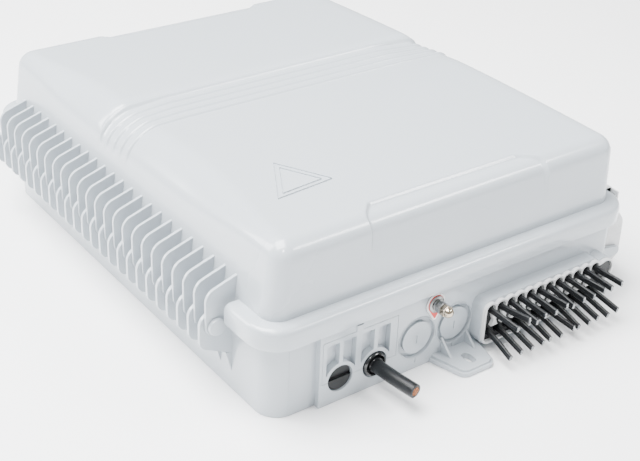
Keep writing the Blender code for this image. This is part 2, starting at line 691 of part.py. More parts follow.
# sideways lean and droop of each cut drop cable at its free end, left to right
UPPER_LEAN = (1.5, 2.5, 1.0, -0.5, 0.5, 1.5, -1.0, 0.0, 1.0, 2.0, 0.5, 1.5)
UPPER_DROOP = (2.0, -1.5, 3.0, 0.5, 1.5, 0.0, 2.5, 1.0, 2.0, 0.5, 1.5, 1.0)
LOWER_LEAN = (-2.0, -1.0, 0.0, 1.0, -1.5, 0.5, 3.0, -1.0, 0.5, -0.5, 1.0, 1.5)
LOWER_DROOP = (5.5, 4.5, 5.0, 4.5, 4.0, 5.5, 3.5, 4.5, 5.0, 4.0, 5.5, 4.5)
DROP_INSIDE = 14.0             # length of drop cable behind the seal's front face
DROP_OUTSIDE = 24.0


def build_cables():
    front = PORT_WALL - DROP_REACH
    leans = {"upper": (UPPER_LEAN, UPPER_DROOP), "lower": (LOWER_LEAN, LOWER_DROOP)}
    for row, k, x, z in drop_places():
        lean, droop = leans[row][0][k], leans[row][1][k]
        route = [(x, front + DROP_INSIDE, z), (x, front + 1, z), (x + 0.15 * lean, front - 7, z - 0.2 * droop),
                 (x + lean, front - DROP_OUTSIDE, z - droop)]
        cable(f"drop_cable_{row}_{k + 1:02d}", route, DROP_RADIUS, 10.0)
    x = PORT_X[1]
    z = PORT_HEIGHT
    route = [(x, INNER_FRONT + 24, z), (x, INNER_FRONT, z), (x, PORT_WALL - 4, z), (x + 1.2, PORT_WALL - 20, z),
             (x + 4, PORT_WALL - 36, z - 0.6)]
    cable("feeder_cable", route, FEEDER_RADIUS, 12.0)


# ---------------------------------------------------------------- earth stud
def build_earth():
    x, z = STUD_X, STUD_HEIGHT
    layers = (("ground_tag", 7.6, 0.8, "tag", 20), ("ground_flat_washer", 6.0, 1.2, "steel", 20),
              ("ground_spring_washer", 4.4, 1.4, "steel", 16), ("ground_hex_nut", 4.6, 4.0, "steel", 6))
    face = PORT_WALL
    for name, radius, thickness, key, sides in layers:
        face -= GAP + thickness
        if name == "ground_tag":
            tail = [(x - 2.2, z - 11.5), (x + 2.2, z - 11.5)]
            outline = arc(x, z, radius, -40, 220, 14) + tail
            hole = arc(x, z, STUD_RADIUS + GAP, 0, 330, 11)
            piece(name, plate(outline, [hole], face, face + thickness, "XZ"), key)
        else:
            rim = arc(x, z, radius, 0, 360 - 360 / sides, sides - 1)
            hole = arc(x, z, STUD_RADIUS + GAP, 0, 330, 11)
            piece(name, plate(rim, [hole], face, face + thickness, "XZ"), key)
    nut_depth = 4.0
    start = face - GAP - nut_depth
    nut = piece("ground_dome_nut", cylinder((x, start, z), nut_depth, 4.5, "Y", 6), "nickel")
    dome = bmesh.new()
    bmesh.ops.create_uvsphere(dome, u_segments=14, v_segments=8, radius=3.7,
                              matrix=Matrix.Translation((x, start, z)) @ along("Y"))
    union(nut, dome)
    cut(nut, cylinder((x, start + 0.5, z), nut_depth + 1, STUD_RADIUS + GAP, "Y", 12))
    stud = piece("ground_stud", cylinder((x, start + 1.0, z), INNER_FRONT - start + 1, STUD_RADIUS, "Y", 12), "steel")
    union(stud, cylinder((x, INNER_FRONT + GAP, z), 3.5, 4.5, "Y", 6))


# ---------------------------------------------------------------- inside
def build_plate():
    x0, x1, y0, y1 = PLATE
    holes = [arc(x, y, SCREW_RADIUS + 0.4, 0, 315, 7) for x, y in PLATE_BOSSES]
    low = BOSS_HEIGHT + GAP
    base_plate = piece("mounting_plate", plate(rounded(x0, x1, y0, y1, 6, 3), holes, low, PLATE_TOP), "sheet")
    for index, (x, y) in enumerate(PLATE_BOSSES):
        screw(f"plate_screw_{index + 1}", x, y, PLATE_TOP + GAP, 10.0)
    half = PANEL_WIDTH / 2 + GAP
    for side in (-1, 1):
        low_x, high_x = sorted((side * half, side * (half + 3)))
        y, z = PANEL_HINGE_Y, PANEL_HINGE_HEIGHT
        outline = [(y - 8, PLATE_TOP - 1), (y + 8, PLATE_TOP - 1)] + arc(y, z, 4, 0, 180, 5)
        ear = plate(outline, [arc(y, z, 1.8, 0, 315, 7)], low_x, high_x, "YZ")
        union(base_plate, ear)
    front = PANEL_HINGE_Y - PANEL_DEPTH
    posts = [box(x - 6, x + 6, front + 3, front + 6, PLATE_TOP - 1, PANEL_HINGE_HEIGHT - 1 - GAP) for x in (-80, 80)]
    union(base_plate, merge(*posts))
    guide = ring((-30, 28, PLATE_TOP - 1), 13, 22, 20.5, "Z", 20)
    union(base_plate, guide)


def adapter_row(name, low):
    """A strip of through adapters with a dust cap in each end."""
    width, length, height = ADAPTER
    middle = PANEL_HINGE_Y - PANEL_DEPTH + 24
    half = ADAPTER_PITCH * DROP_COUNT / 2
    row = piece(name, box(-half, half, middle - 1.5, middle + 1.5, low, low + height), "adapter")
    bodies, caps = [], []
    for k in range(DROP_COUNT):
        x = -half + ADAPTER_PITCH * (k + 0.5)
        bodies.append(box(x - width / 2, x + width / 2, middle - length / 2, middle + length / 2, low + 1, low + height - 1))
        caps.append(box(x - width / 2 + 1.5, x + width / 2 - 1.5, middle - length / 2 - 2.5, middle + length / 2 + 2.5,
                        low + 2.6, low + height - 2.6))
    union(row, merge(*bodies))
    union(row, merge(*caps))


def build_adapter_panel():
    y, z = PANEL_HINGE_Y, PANEL_HINGE_HEIGHT
    half = PANEL_WIDTH / 2
    front = y - PANEL_DEPTH
    panel = piece("adapter_panel", box(-half, half, front, y - 5, z - 1, z - 1 + PANEL_THICKNESS), "sheet")
    union(panel, box(-half, half, front, front + 2, z - 1, z + 7))
    knuckle = cylinder((-half, y, z), PANEL_WIDTH, 3.4, "X", 12)
    union(panel, knuckle)
    union(panel, box(-half, half, y - 6, y, z - 1, z - 1 + PANEL_THICKNESS))
    cut(panel, cylinder((-half - 1, y, z), PANEL_WIDTH + 2, 1.8, "X", 8))
    piece("panel_pin", cylinder((-half - GAP - 3, y, z), PANEL_WIDTH + 2 * (GAP + 3), 1.4, "X", 8), "steel")
    low = z - 1 + PANEL_THICKNESS + GAP
    adapter_row("adapter_row_lower", low)
    adapter_row("adapter_row_upper", low + ADAPTER[2] + GAP)


def build_tray():
    x0, y0 = TRAY_LEFT, TRAY_FRONT
    x1, y1 = x0 + TRAY_WIDTH, y0 + TRAY_DEPTH
    low = PLATE_TOP + GAP
    high = low + TRAY_HEIGHT
    inset = TRAY_WALL
    tray = loft([level(rounded(x0, x1, y0, y1, 14, 4), low), level(rounded(x0, x1, y0, y1, 14, 4), high),
                 level(rounded(x0 + inset, x1 - inset, y0 + inset, y1 - inset, 14 - inset, 4), high),
                 level(rounded(x0 + inset, x1 - inset, y0 + inset, y1 - inset, 14 - inset, 4), low + 1.6)])
    tray = piece("splice_tray", tray, "tray")
    holders = [box(x0 + 52 + 5 * i, x0 + 53.2 + 5 * i, y0 + 28, y0 + 54, low + 1, low + 7) for i in range(12)]
    union(tray, merge(*holders))
    hinge_y, hinge_z = y1 + 3.5, high + 1.6
    for side in (x0 + 20, x1 - 26):
        outline = [(y1 - 0.5, low), (hinge_y + 2, low)] + arc(hinge_y, hinge_z, 2.6, 0, 100, 3) + [(y1 - 0.5, high - 1)]
        union(tray, plate(outline, [arc(hinge_y, hinge_z, 1.5, 0, 315, 7)], side, side + 6, "YZ"))
    cover = piece("tray_cover", plate(rounded(x0, x1, y0, y1 - 1, 14, 4), [], high + GAP, high + GAP + 1.6), "tray")
    for side in (x0 + 26 + GAP, x1 - 20 + GAP):
        union(cover, box(side, side + 5, y1 - 6, hinge_y, high + GAP, high + GAP + 1.6))
        union(cover, cylinder((side, hinge_y, hinge_z), 5, 1.6, "X", 8))
        union(cover, cylinder((side - 5 - GAP, hinge_y, hinge_z), 6 + GAP, 1.1, "X", 8))


def build_splitter():
    width, depth, height = SPLITTER
    x0 = PLATE[1] - 4 - width
    low = PLATE_TOP + GAP
    body = piece("splitter_module", box(x0, x0 + width, TRAY_FRONT + 4, TRAY_FRONT + 4 + depth, low, low + height), "module")
    tails = [cylinder((x0 + 8 + 6 * i, TRAY_FRONT - 2, low + 6), 8, 1.2, "Y", 8) for i in range(12)]
    union(body, merge(*tails))


build_base()
build_lid()
build_gasket()
build_hinge_pin()
build_latch("latch_front", -1)
build_latch("latch_rear", 1)
build_clamp()
build_feeder()
build_drop_port()
build_earth()
build_plate()
build_adapter_panel()
build_tray()
build_splitter()
build_cables()
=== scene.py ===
# %% [markdown]
# # A fiber termination box
# A telecom wall box, lying on its back, with its lid shut. One feeder cable comes in, and two rows of flat drop
# cables go out. Each step below names a piece, says how it could be made in Blender, and why this way was chosen.
# Sizes are written in millimetres and turned into metres when a piece is finished.

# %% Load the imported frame
from math import cos, pi, radians, sin, tan

import bmesh
import bpy
from mathutils import Matrix, Vector


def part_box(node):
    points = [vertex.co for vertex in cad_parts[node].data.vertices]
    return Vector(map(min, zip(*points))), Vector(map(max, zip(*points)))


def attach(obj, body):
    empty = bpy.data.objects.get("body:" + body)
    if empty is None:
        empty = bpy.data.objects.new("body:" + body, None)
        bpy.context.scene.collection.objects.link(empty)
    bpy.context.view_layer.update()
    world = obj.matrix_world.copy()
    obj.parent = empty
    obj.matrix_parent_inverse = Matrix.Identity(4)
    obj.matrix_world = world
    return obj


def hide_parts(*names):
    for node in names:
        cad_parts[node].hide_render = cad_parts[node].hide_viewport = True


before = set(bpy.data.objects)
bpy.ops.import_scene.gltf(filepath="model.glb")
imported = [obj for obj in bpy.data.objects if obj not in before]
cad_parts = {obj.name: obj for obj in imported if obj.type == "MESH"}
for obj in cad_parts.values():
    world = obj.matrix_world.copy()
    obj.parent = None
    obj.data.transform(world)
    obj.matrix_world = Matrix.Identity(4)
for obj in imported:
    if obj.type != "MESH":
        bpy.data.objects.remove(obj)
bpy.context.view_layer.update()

# %% [markdown]
# ## Measures
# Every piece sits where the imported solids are, so the main sizes are read from them. A box of two corners per node
# is enough: the case's walls, the lid's rim and the port wall all follow from it.

# %% Main sizes, in millimetres
MM = 0.001
low, high = (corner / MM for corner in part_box("lid_gasket"))
HALF_W, HALF_L = high.x + 0.4, high.y + 0.4
RIM = low.z - 0.3
SEAM = high.z + 0.3
low, high = (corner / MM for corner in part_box("lid_shell"))
SKIRT_OUT = high.x - HALF_W
SKIRT_FOOT = RIM - 2.0
LEDGE = RIM + 12.6
low, high = (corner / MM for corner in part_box("hinge_pin"))
PIN = Vector(((low.x + high.x) / 2, 0, (low.z + high.z) / 2))
PIN_START, PIN_END = low.y, high.y
PORT_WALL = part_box("cable_entry_clamp")[0].y / MM
INNER_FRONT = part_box("cable_entry_clamp")[1].y / MM
WALL = 3.0
FINS, FIN_PITCH = 24, 13.0
FIN_FIRST = PIN_START + 4.0
print("case", round(2 * HALF_W, 1), "x", round(2 * HALF_L, 1), "port wall at", round(PORT_WALL, 1), "pin", PIN)

# %% [markdown]
# ## Camera
# A long lens, a little above the near corner, on the side where the hinge and the ports both show. Its three axes
# are given as directions, so there is no guessing at the order of turns.

# %% Camera
stage = bpy.context.scene
lens = bpy.data.cameras.new("camera")
lens.lens, lens.sensor_width = 70.23, 36.0
camera = bpy.data.objects.new("camera", lens)
stage.collection.objects.link(camera)
ahead = Vector((0.5233, 0.6887, -0.5018)).normalized()
across = Vector((0.8084, -0.5875, 0.0367)).normalized()
over = across.cross(ahead).normalized()
turn = Matrix((ahead.cross(over), over, -ahead)).transposed()
camera.matrix_world = Matrix.Translation((-0.4909, -0.6803, 0.4901)) @ turn.to_4x4()
stage.camera = camera
print("camera looks along", tuple(round(v, 3) for v in ahead))

# %% [markdown]
# ## Finishes
# Injection-moulded plastic is never quite even: the steel mould's fine spark-eroded skin prints on it, and the
# gloss wanders a little where the melt cooled. Two node groups hold that behaviour, and each finish uses them with
# its own values. Object coordinates are in metres, so a noise scale of 1000 is a grain of about a millimetre.

# %% A node group for moulded skin
def new_group(name, inputs, outputs):
    group = bpy.data.node_groups.new(name, "ShaderNodeTree")
    for label, kind, value in inputs:
        socket = group.interface.new_socket(label, in_out="INPUT", socket_type=kind)
        if value is not None:
            socket.default_value = value
    for label, kind in outputs:
        group.interface.new_socket(label, in_out="OUTPUT", socket_type=kind)
    return group, group.nodes.new("NodeGroupInput"), group.nodes.new("NodeGroupOutput")


def moulded_skin():
    group, given, result = new_group(
        "moulded_skin",
        [("Colour", "NodeSocketColor", (0.8, 0.8, 0.8, 1)), ("Shade", "NodeSocketFloat", 0.04),
         ("Gloss low", "NodeSocketFloat", 0.3), ("Gloss high", "NodeSocketFloat", 0.4),
         ("Grain", "NodeSocketFloat", 900.0), ("Depth", "NodeSocketFloat", 0.1)],
        [("Colour", "NodeSocketColor"), ("Roughness", "NodeSocketFloat"), ("Normal", "NodeSocketVector")])
    add, wire = group.nodes.new, group.links.new
    place = add("ShaderNodeTexCoord")
    broad = add("ShaderNodeTexNoise")
    broad.inputs["Scale"].default_value = 9.0
    broad.inputs["Detail"].default_value = 4.0
    wire(place.outputs["Object"], broad.inputs["Vector"])
    fine = add("ShaderNodeTexNoise")
    fine.inputs["Detail"].default_value = 3.0
    wire(place.outputs["Object"], fine.inputs["Vector"])
    wire(given.outputs["Grain"], fine.inputs["Scale"])
    darker = add("ShaderNodeMath")
    darker.operation = "MULTIPLY"
    wire(broad.outputs["Fac"], darker.inputs[0])
    wire(given.outputs["Shade"], darker.inputs[1])
    tone = add("ShaderNodeMix")
    tone.data_type = "RGBA"
    tone.blend_type = "MULTIPLY"
    tone.inputs["B"].default_value = (0.55, 0.57, 0.6, 1)
    wire(darker.outputs[0], tone.inputs["Factor"])
    wire(given.outputs["Colour"], tone.inputs["A"])
    wire(tone.outputs["Result"], result.inputs["Colour"])
    gloss = add("ShaderNodeMapRange")
    wire(broad.outputs["Fac"], gloss.inputs["Value"])
    gloss.inputs["From Min"].default_value, gloss.inputs["From Max"].default_value = 0.3, 0.7
    wire(given.outputs["Gloss low"], gloss.inputs["To Min"])
    wire(given.outputs["Gloss high"], gloss.inputs["To Max"])
    wire(gloss.outputs["Result"], result.inputs["Roughness"])
    bump = add("ShaderNodeBump")
    bump.inputs["Distance"].default_value = 0.0002
    wire(given.outputs["Depth"], bump.inputs["Strength"])
    wire(fine.outputs["Fac"], bump.inputs["Height"])
    wire(bump.outputs["Normal"], result.inputs["Normal"])
    return group


SKIN = moulded_skin()
print("skin group:", [item.name for item in SKIN.interface.items_tree])


# %% A node group for drawn and turned metal
def drawn_metal():
    group, given, result = new_group(
        "drawn_metal",
        [("Colour", "NodeSocketColor", (0.6, 0.6, 0.6, 1)), ("Dull", "NodeSocketColor", (0.4, 0.38, 0.34, 1)),
         ("Gloss low", "NodeSocketFloat", 0.2), ("Gloss high", "NodeSocketFloat", 0.45),
         ("Depth", "NodeSocketFloat", 0.2)],
        [("Colour", "NodeSocketColor"), ("Roughness", "NodeSocketFloat"), ("Normal", "NodeSocketVector")])
    add, wire = group.nodes.new, group.links.new
    place = add("ShaderNodeTexCoord")
    patch = add("ShaderNodeTexNoise")
    patch.inputs["Scale"].default_value = 420.0
    patch.inputs["Detail"].default_value = 5.0
    wire(place.outputs["Object"], patch.inputs["Vector"])
    mix = add("ShaderNodeMix")
    mix.data_type = "RGBA"
    wire(patch.outputs["Fac"], mix.inputs["Factor"])
    wire(given.outputs["Colour"], mix.inputs["A"])
    wire(given.outputs["Dull"], mix.inputs["B"])
    wire(mix.outputs["Result"], result.inputs["Colour"])
    gloss = add("ShaderNodeMapRange")
    gloss.inputs["From Min"].default_value, gloss.inputs["From Max"].default_value = 0.3, 0.7
    wire(patch.outputs["Fac"], gloss.inputs["Value"])
    wire(given.outputs["Gloss low"], gloss.inputs["To Min"])
    wire(given.outputs["Gloss high"], gloss.inputs["To Max"])
    wire(gloss.outputs["Result"], result.inputs["Roughness"])
    lines = add("ShaderNodeMapping")
    lines.inputs["Scale"].default_value = (2600.0, 120.0, 2600.0)
    wire(place.outputs["Object"], lines.inputs["Vector"])
    scratch = add("ShaderNodeTexNoise")
    scratch.inputs["Scale"].default_value = 1.0
    wire(lines.outputs["Vector"], scratch.inputs["Vector"])
    bump = add("ShaderNodeBump")
    bump.inputs["Distance"].default_value = 0.0001
    wire(given.outputs["Depth"], bump.inputs["Strength"])
    wire(scratch.outputs["Fac"], bump.inputs["Height"])
    wire(bump.outputs["Normal"], result.inputs["Normal"])
    return group


METAL = drawn_metal()
print("metal group:", [item.name for item in METAL.interface.items_tree])


# %% Finishes of the real pieces
def finish(name, group, settings, metallic=0.0, specular=0.5, coat=0.0, sheen=0.0):
    made = bpy.data.materials.new(name)
    made.use_nodes = True
    shader = made.node_tree.nodes["Principled BSDF"]
    shader.inputs["Metallic"].default_value = metallic
    shader.inputs["Specular IOR Level"].default_value = specular
    shader.inputs["Coat Weight"].default_value = coat
    shader.inputs["Coat Roughness"].default_value = 0.08
    shader.inputs["Sheen Weight"].default_value = sheen
    skin = made.node_tree.nodes.new("ShaderNodeGroup")
    skin.node_tree = group
    for label, value in settings.items():
        skin.inputs[label].default_value = value
    for output, socket in (("Colour", "Base Color"), ("Roughness", "Roughness"), ("Normal", "Normal")):
        made.node_tree.links.new(skin.outputs[output], shader.inputs[socket])
    return made


def plastic(name, colour, shade, low, high, grain, depth, **more):
    return finish(name, SKIN, {"Colour": (*colour, 1), "Shade": shade, "Gloss low": low, "Gloss high": high,
                               "Grain": grain, "Depth": depth}, **more)


def metal(name, colour, dull, low, high, depth):
    return finish(name, METAL, {"Colour": (*colour, 1), "Dull": (*dull, 1), "Gloss low": low, "Gloss high": high,
                                "Depth": depth}, metallic=1.0)


case_grey = plastic("case_grey", (0.44, 0.48, 0.515), 0.05, 0.2, 0.28, 1500.0, 0.08, coat=0.5)
case_inside = plastic("case_inside", (0.44, 0.475, 0.5), 0.08, 0.4, 0.5, 1100.0, 0.2)
latch_white = plastic("latch_white", (0.66, 0.665, 0.67), 0.04, 0.2, 0.3, 1500.0, 0.08)
seal_black = plastic("seal_black", (0.006, 0.007, 0.008), 0.3, 0.3, 0.5, 1300.0, 0.3, specular=0.3)
bell_black = plastic("bell_black", (0.008, 0.009, 0.010), 0.2, 0.08, 0.16, 600.0, 0.05, coat=0.6)
jacket_black = plastic("jacket_black", (0.007, 0.008, 0.009), 0.6, 0.28, 0.42, 1400.0, 0.5, specular=0.3)
cable_black = plastic("cable_black", (0.008, 0.009, 0.010), 0.6, 0.3, 0.5, 2200.0, 0.7, specular=0.3)
cut_grey = plastic("cut_grey", (0.20, 0.21, 0.22), 0.7, 0.3, 0.5, 2500.0, 0.9)
fibre_white = plastic("fibre_white", (0.82, 0.84, 0.84), 0.3, 0.12, 0.25, 1500.0, 0.2)
tag_red = plastic("tag_red", (0.72, 0.012, 0.006), 0.2, 0.25, 0.35, 1200.0, 0.1)
tag_white = plastic("tag_white", (0.82, 0.80, 0.78), 0.1, 0.25, 0.35, 1200.0, 0.1)
adapter_green = plastic("adapter_green", (0.015, 0.27, 0.12), 0.25, 0.25, 0.38, 900.0, 0.15)
cap_clear = plastic("cap_clear", (0.62, 0.66, 0.68), 0.1, 0.15, 0.25, 900.0, 0.1)
tray_grey = plastic("tray_grey", (0.66, 0.69, 0.71), 0.08, 0.25, 0.38, 900.0, 0.12)
module_dark = plastic("module_dark", (0.035, 0.036, 0.04), 0.4, 0.38, 0.5, 1100.0, 0.35)
sheet_paint = plastic("sheet_paint", (0.50, 0.53, 0.55), 0.12, 0.4, 0.5, 1600.0, 0.5)
zinc = metal("zinc", (0.42, 0.425, 0.43), (0.24, 0.235, 0.22), 0.22, 0.42, 0.35)
nickel = metal("nickel", (0.55, 0.47, 0.37), (0.42, 0.34, 0.25), 0.07, 0.16, 0.05)
copper = metal("copper", (0.50, 0.20, 0.09), (0.22, 0.08, 0.035), 0.25, 0.5, 0.4)
print(len(bpy.data.materials), "finishes")

# %% [markdown]
# ## Helpers
# A piece begins as a bmesh in millimetres. *keep* closes it, scales it to metres, gives it its finish and sets it on
# its body. Its edges are softened by a Bevel modifier, because no moulded edge is ever perfectly sharp, and that thin
# rounded edge is what catches the light.


# %% Keep a piece
def keep(name, bm, look, body="base", stands_for=(), soften=0.0, steps=2, looks=(), slot=None):
    bmesh.ops.remove_doubles(bm, verts=bm.verts, dist=0.002)
    bmesh.ops.recalc_face_normals(bm, faces=bm.faces)
    bmesh.ops.scale(bm, vec=(MM, MM, MM), verts=bm.verts)
    mesh = bpy.data.meshes.new(name)
    bm.to_mesh(mesh)
    bm.free()
    for one in (look, *looks):
        mesh.materials.append(one)
    mesh.shade_smooth()
    made = bpy.data.objects.new(name, mesh)
    stage.collection.objects.link(made)
    if soften:
        edge = made.modifiers.new("soft_edge", "BEVEL")
        edge.width, edge.segments = soften * MM, steps
        edge.limit_method, edge.angle_limit = "ANGLE", radians(32)
        edge.harden_normals = True
    else:
        mesh.set_sharp_from_angle(angle=radians(38))
    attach(made, body)
    if stands_for:
        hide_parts(*stands_for)
    return made


def verts_in(made):
    return [item for item in made if isinstance(item, bmesh.types.BMVert)]


def moulded(name, bm, **more):
    """A detail of the base's own moulding."""
    return keep(name, bm, case_grey, "base", ["base_shell"], slot="case", **more)


def block(x0, x1, y0, y1, z0, z1, bm=None):
    bm = bm or bmesh.new()
    centre = Matrix.Translation(((x0 + x1) / 2, (y0 + y1) / 2, (z0 + z1) / 2))
    bmesh.ops.create_cube(bm, size=1, matrix=centre @ Matrix.Diagonal((x1 - x0, y1 - y0, z1 - z0, 1)))
    return bm


AXES = {"X": Matrix.Rotation(pi / 2, 4, "Y"), "Y": Matrix.Rotation(-pi / 2, 4, "X"), "Z": Matrix.Identity(4)}


def rod(start, length, radius, axis="Y", sides=32, tip=None, bm=None):
    bm = bm or bmesh.new()
    place = Matrix.Translation(start) @ AXES[axis] @ Matrix.Translation((0, 0, length / 2))
    bmesh.ops.create_cone(bm, cap_ends=True, segments=sides, radius1=radius, radius2=radius if tip is None else tip,
                          depth=length, matrix=place)
    return bm


def turned(outline, start, axis="Y", steps=40):
    """A lathe: the outline is (distance along the axis, radius), and the full spin closes on itself."""
    bm = bmesh.new()
    points = [bm.verts.new((radius, 0, along)) for along, radius in outline]
    edges = [bm.edges.new(pair) for pair in zip(points, points[1:])]
    bmesh.ops.spin(bm, geom=points + edges, cent=(0, 0, 0), axis=(0, 0, 1), angle=2 * pi, steps=steps, use_merge=True)
    bmesh.ops.remove_doubles(bm, verts=bm.verts, dist=0.001)
    bmesh.ops.transform(bm, matrix=Matrix.Translation(start) @ AXES[axis], verts=bm.verts)
    return bm


PLANES = {"XZ": lambda u, v, w: (u, w, v), "XY": lambda u, v, w: (u, v, w), "YZ": lambda u, v, w: (w, u, v)}


def profile(corners, low, high, plane="XZ", bm=None):
    """A flat outline pulled out from low to high. A corner is (u, v) or (u, v, radius)."""
    bm = bm or bmesh.new()
    place = PLANES[plane]
    verts = [bm.verts.new(place(c[0], c[1], low)) for c in corners]
    face = bm.faces.new(verts)
    for radius in sorted({c[2] for c in corners if len(c) > 2}):
        round_off = [v for v, c in zip(verts, corners) if len(c) > 2 and c[2] == radius]
        bmesh.ops.bevel(bm, geom=round_off, offset=radius, offset_type="OFFSET", affect="VERTICES", segments=7,
                        profile=0.5, material=-1)
        if not face.is_valid:
            face = max((f for v in bm.verts if v.is_valid for f in v.link_faces), key=lambda f: f.index)
    made = bmesh.ops.extrude_face_region(bm, geom=[face])
    moved = verts_in(made["geom"])
    bmesh.ops.translate(bm, vec=Vector(place(0, 0, high - low)), verts=moved)
    return bm


def joined(*parts):
    whole = bmesh.new()
    for part in parts:
        mesh = bpy.data.meshes.new("part")
        part.to_mesh(mesh)
        part.free()
        whole.from_mesh(mesh)
        bpy.data.meshes.remove(mesh)
    return whole


def carved(bm, *cutters):
    """The shape with each cutter taken out of it, by an exact Boolean."""
    def loose(shape):
        bmesh.ops.recalc_face_normals(shape, faces=shape.faces)
        mesh = bpy.data.meshes.new("loose")
        shape.to_mesh(mesh)
        shape.free()
        made = bpy.data.objects.new("loose", mesh)
        stage.collection.objects.link(made)
        return made

    body = loose(bm)
    tools = [loose(cutter) for cutter in cutters]
    for tool in tools:
        step = body.modifiers.new("carve", "BOOLEAN")
        step.operation, step.solver, step.object = "DIFFERENCE", "EXACT", tool
    result = bpy.data.meshes.new_from_object(body.evaluated_get(bpy.context.evaluated_depsgraph_get()))
    out = bmesh.new()
    out.from_mesh(result)
    for one in (body, *tools):
        bpy.data.objects.remove(one)
    return out


def repeated(piece, count, step):
    """Copies of a piece in a row, as an Array ahead of the softened edge."""
    row = piece.modifiers.new("row", "ARRAY")
    row.count, row.use_relative_offset, row.use_constant_offset = count, False, True
    row.constant_offset_displace = Vector(step) * MM
    piece.modifiers.move(len(piece.modifiers) - 1, 0)
    return piece


print("helpers ready")

# %% [markdown]
# ## Cables
# The drop cables are flat: two strength wires lie beside one fibre, so the jacket has two round lobes and a waist.
# A curve with a bevel would give a round cord and one finish, so each cable is a real cross-section extruded from
# point to point along a smooth route, and its cut end is inset into a paler face with the wires standing a little
# proud. Each is cut short, with its own lean and droop.


# %% Routes and the cable sweep
def smooth_route(route, step):
    ends = [2 * route[0] - route[1], *route, 2 * route[-1] - route[-2]]
    path = []
    for a, b, c, d in zip(ends, ends[1:], ends[2:], ends[3:]):
        pieces = max(1, round((c - b).length / step))
        for i in range(pieces):
            t = i / pieces
            path.append(0.5 * (2 * b + (c - a) * t + (2 * a - 5 * b + 4 * c - d) * t * t
                               + (3 * b - a - 3 * c + d) * t ** 3))
    return [*path, route[-1]]


def swept(section, path, cut_depth=0.3):
    """Extrude one face of the given outline through the path's points, and hand back the mesh and its end face."""
    bm = bmesh.new()
    face = bm.faces.new([bm.verts.new((u, 0, v)) for u, v in section])
    seat = Vector((0, -1, 0))
    bmesh.ops.translate(bm, vec=path[0], verts=face.verts)
    start = face
    for here, there in zip(path, path[1:]):
        heading = (there - here).normalized()
        made = bmesh.ops.extrude_discrete_faces(bm, faces=[face])
        face = made["faces"][0]
        bmesh.ops.translate(bm, vec=there - here, verts=face.verts)
        bmesh.ops.rotate(bm, cent=there, matrix=seat.rotation_difference(heading).to_matrix(), verts=face.verts)
        seat = heading
    return bm, face


def lobed(radius, spread, count=9):
    """Two arcs, one over the other, that meet at a waist."""
    points = []
    for side, start in ((1, -45), (-1, 135)):
        for i in range(count):
            angle = radians(start + 270 * i / (count - 1))
            points.append((radius * cos(angle), side * spread + radius * sin(angle)))
    return points


print("waisted section:", len(lobed(1.35, 1.1)), "points")

# %% Drop cables, each swept and kept as its own piece
DROPS, DROP_PITCH, DROP_FIRST = 12, 9.0, 19.8
ROWS = {"upper": 33.4, "lower": 15.0}
DROP_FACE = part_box("drop_port_frame")[0].y / MM
LEANS = {"upper": (1.5, 2.5, 1.0, -0.5, 0.5, 1.5, -1.0, 0.0, 1.0, 2.0, 0.5, 1.5),
         "lower": (-2.0, -1.0, 0.0, 1.0, -1.5, 0.5, 3.0, -1.0, 0.5, -0.5, 1.0, 1.5)}
DROOPS = {"upper": (2.0, -1.5, 3.0, 0.5, 1.5, 0.0, 2.5, 1.0, 2.0, 0.5, 1.5, 1.0),
          "lower": (5.5, 4.5, 5.0, 4.5, 4.0, 5.5, 3.5, 4.5, 5.0, 4.0, 5.5, 4.5)}
INSIDE, OUTSIDE = 14.0, 24.0


def drop_route(row, k):
    x, z, lean, droop = DROP_FIRST + DROP_PITCH * k, ROWS[row], LEANS[row][k], DROOPS[row][k]
    return [Vector((x, DROP_FACE + INSIDE, z)), Vector((x, DROP_FACE + 1, z)),
            Vector((x + 0.15 * lean, DROP_FACE - 7, z - 0.2 * droop)),
            Vector((x + lean, DROP_FACE - OUTSIDE, z - droop))]


def run_length(path):
    return sum((b - a).length for a, b in zip(path, path[1:]))


for row in ROWS:
    for k in range(DROPS):
        path = smooth_route(drop_route(row, k), 2.4)
        bm, end = swept(lobed(1.35, 1.1), path)
        rim = bmesh.ops.inset_region(bm, faces=[end], thickness=0.22, depth=-0.12)
        end.material_index = 1
        tip = path[-1]
        ahead_here = (path[-1] - path[-2]).normalized()
        wires = []
        for side, radius, reach in ((1.15, 0.34, 0.9), (-1.15, 0.34, 0.6), (0.0, 0.2, 1.3)):
            wire = bmesh.new()
            turn = Vector((0, 0, 1)).rotation_difference(ahead_here).to_matrix().to_4x4()
            spot = Matrix.Translation(tip + Vector((0, 0, side))) @ turn
            bmesh.ops.create_cone(wire, cap_ends=True, segments=10, radius1=radius, radius2=radius, depth=reach,
                                  matrix=spot)
            for face in wire.faces:
                face.material_index = 2
            wires.append(wire)
        name = f"drop_cable_{row}_{k + 1:02d}"
        piece = keep(name + "_jacket", joined(bm, *wires), jacket_black, looks=(cut_grey, fibre_white),
                     stands_for=[name], slot="jacket")
print("drop cables are about", round(run_length(path), 1), "mm long")

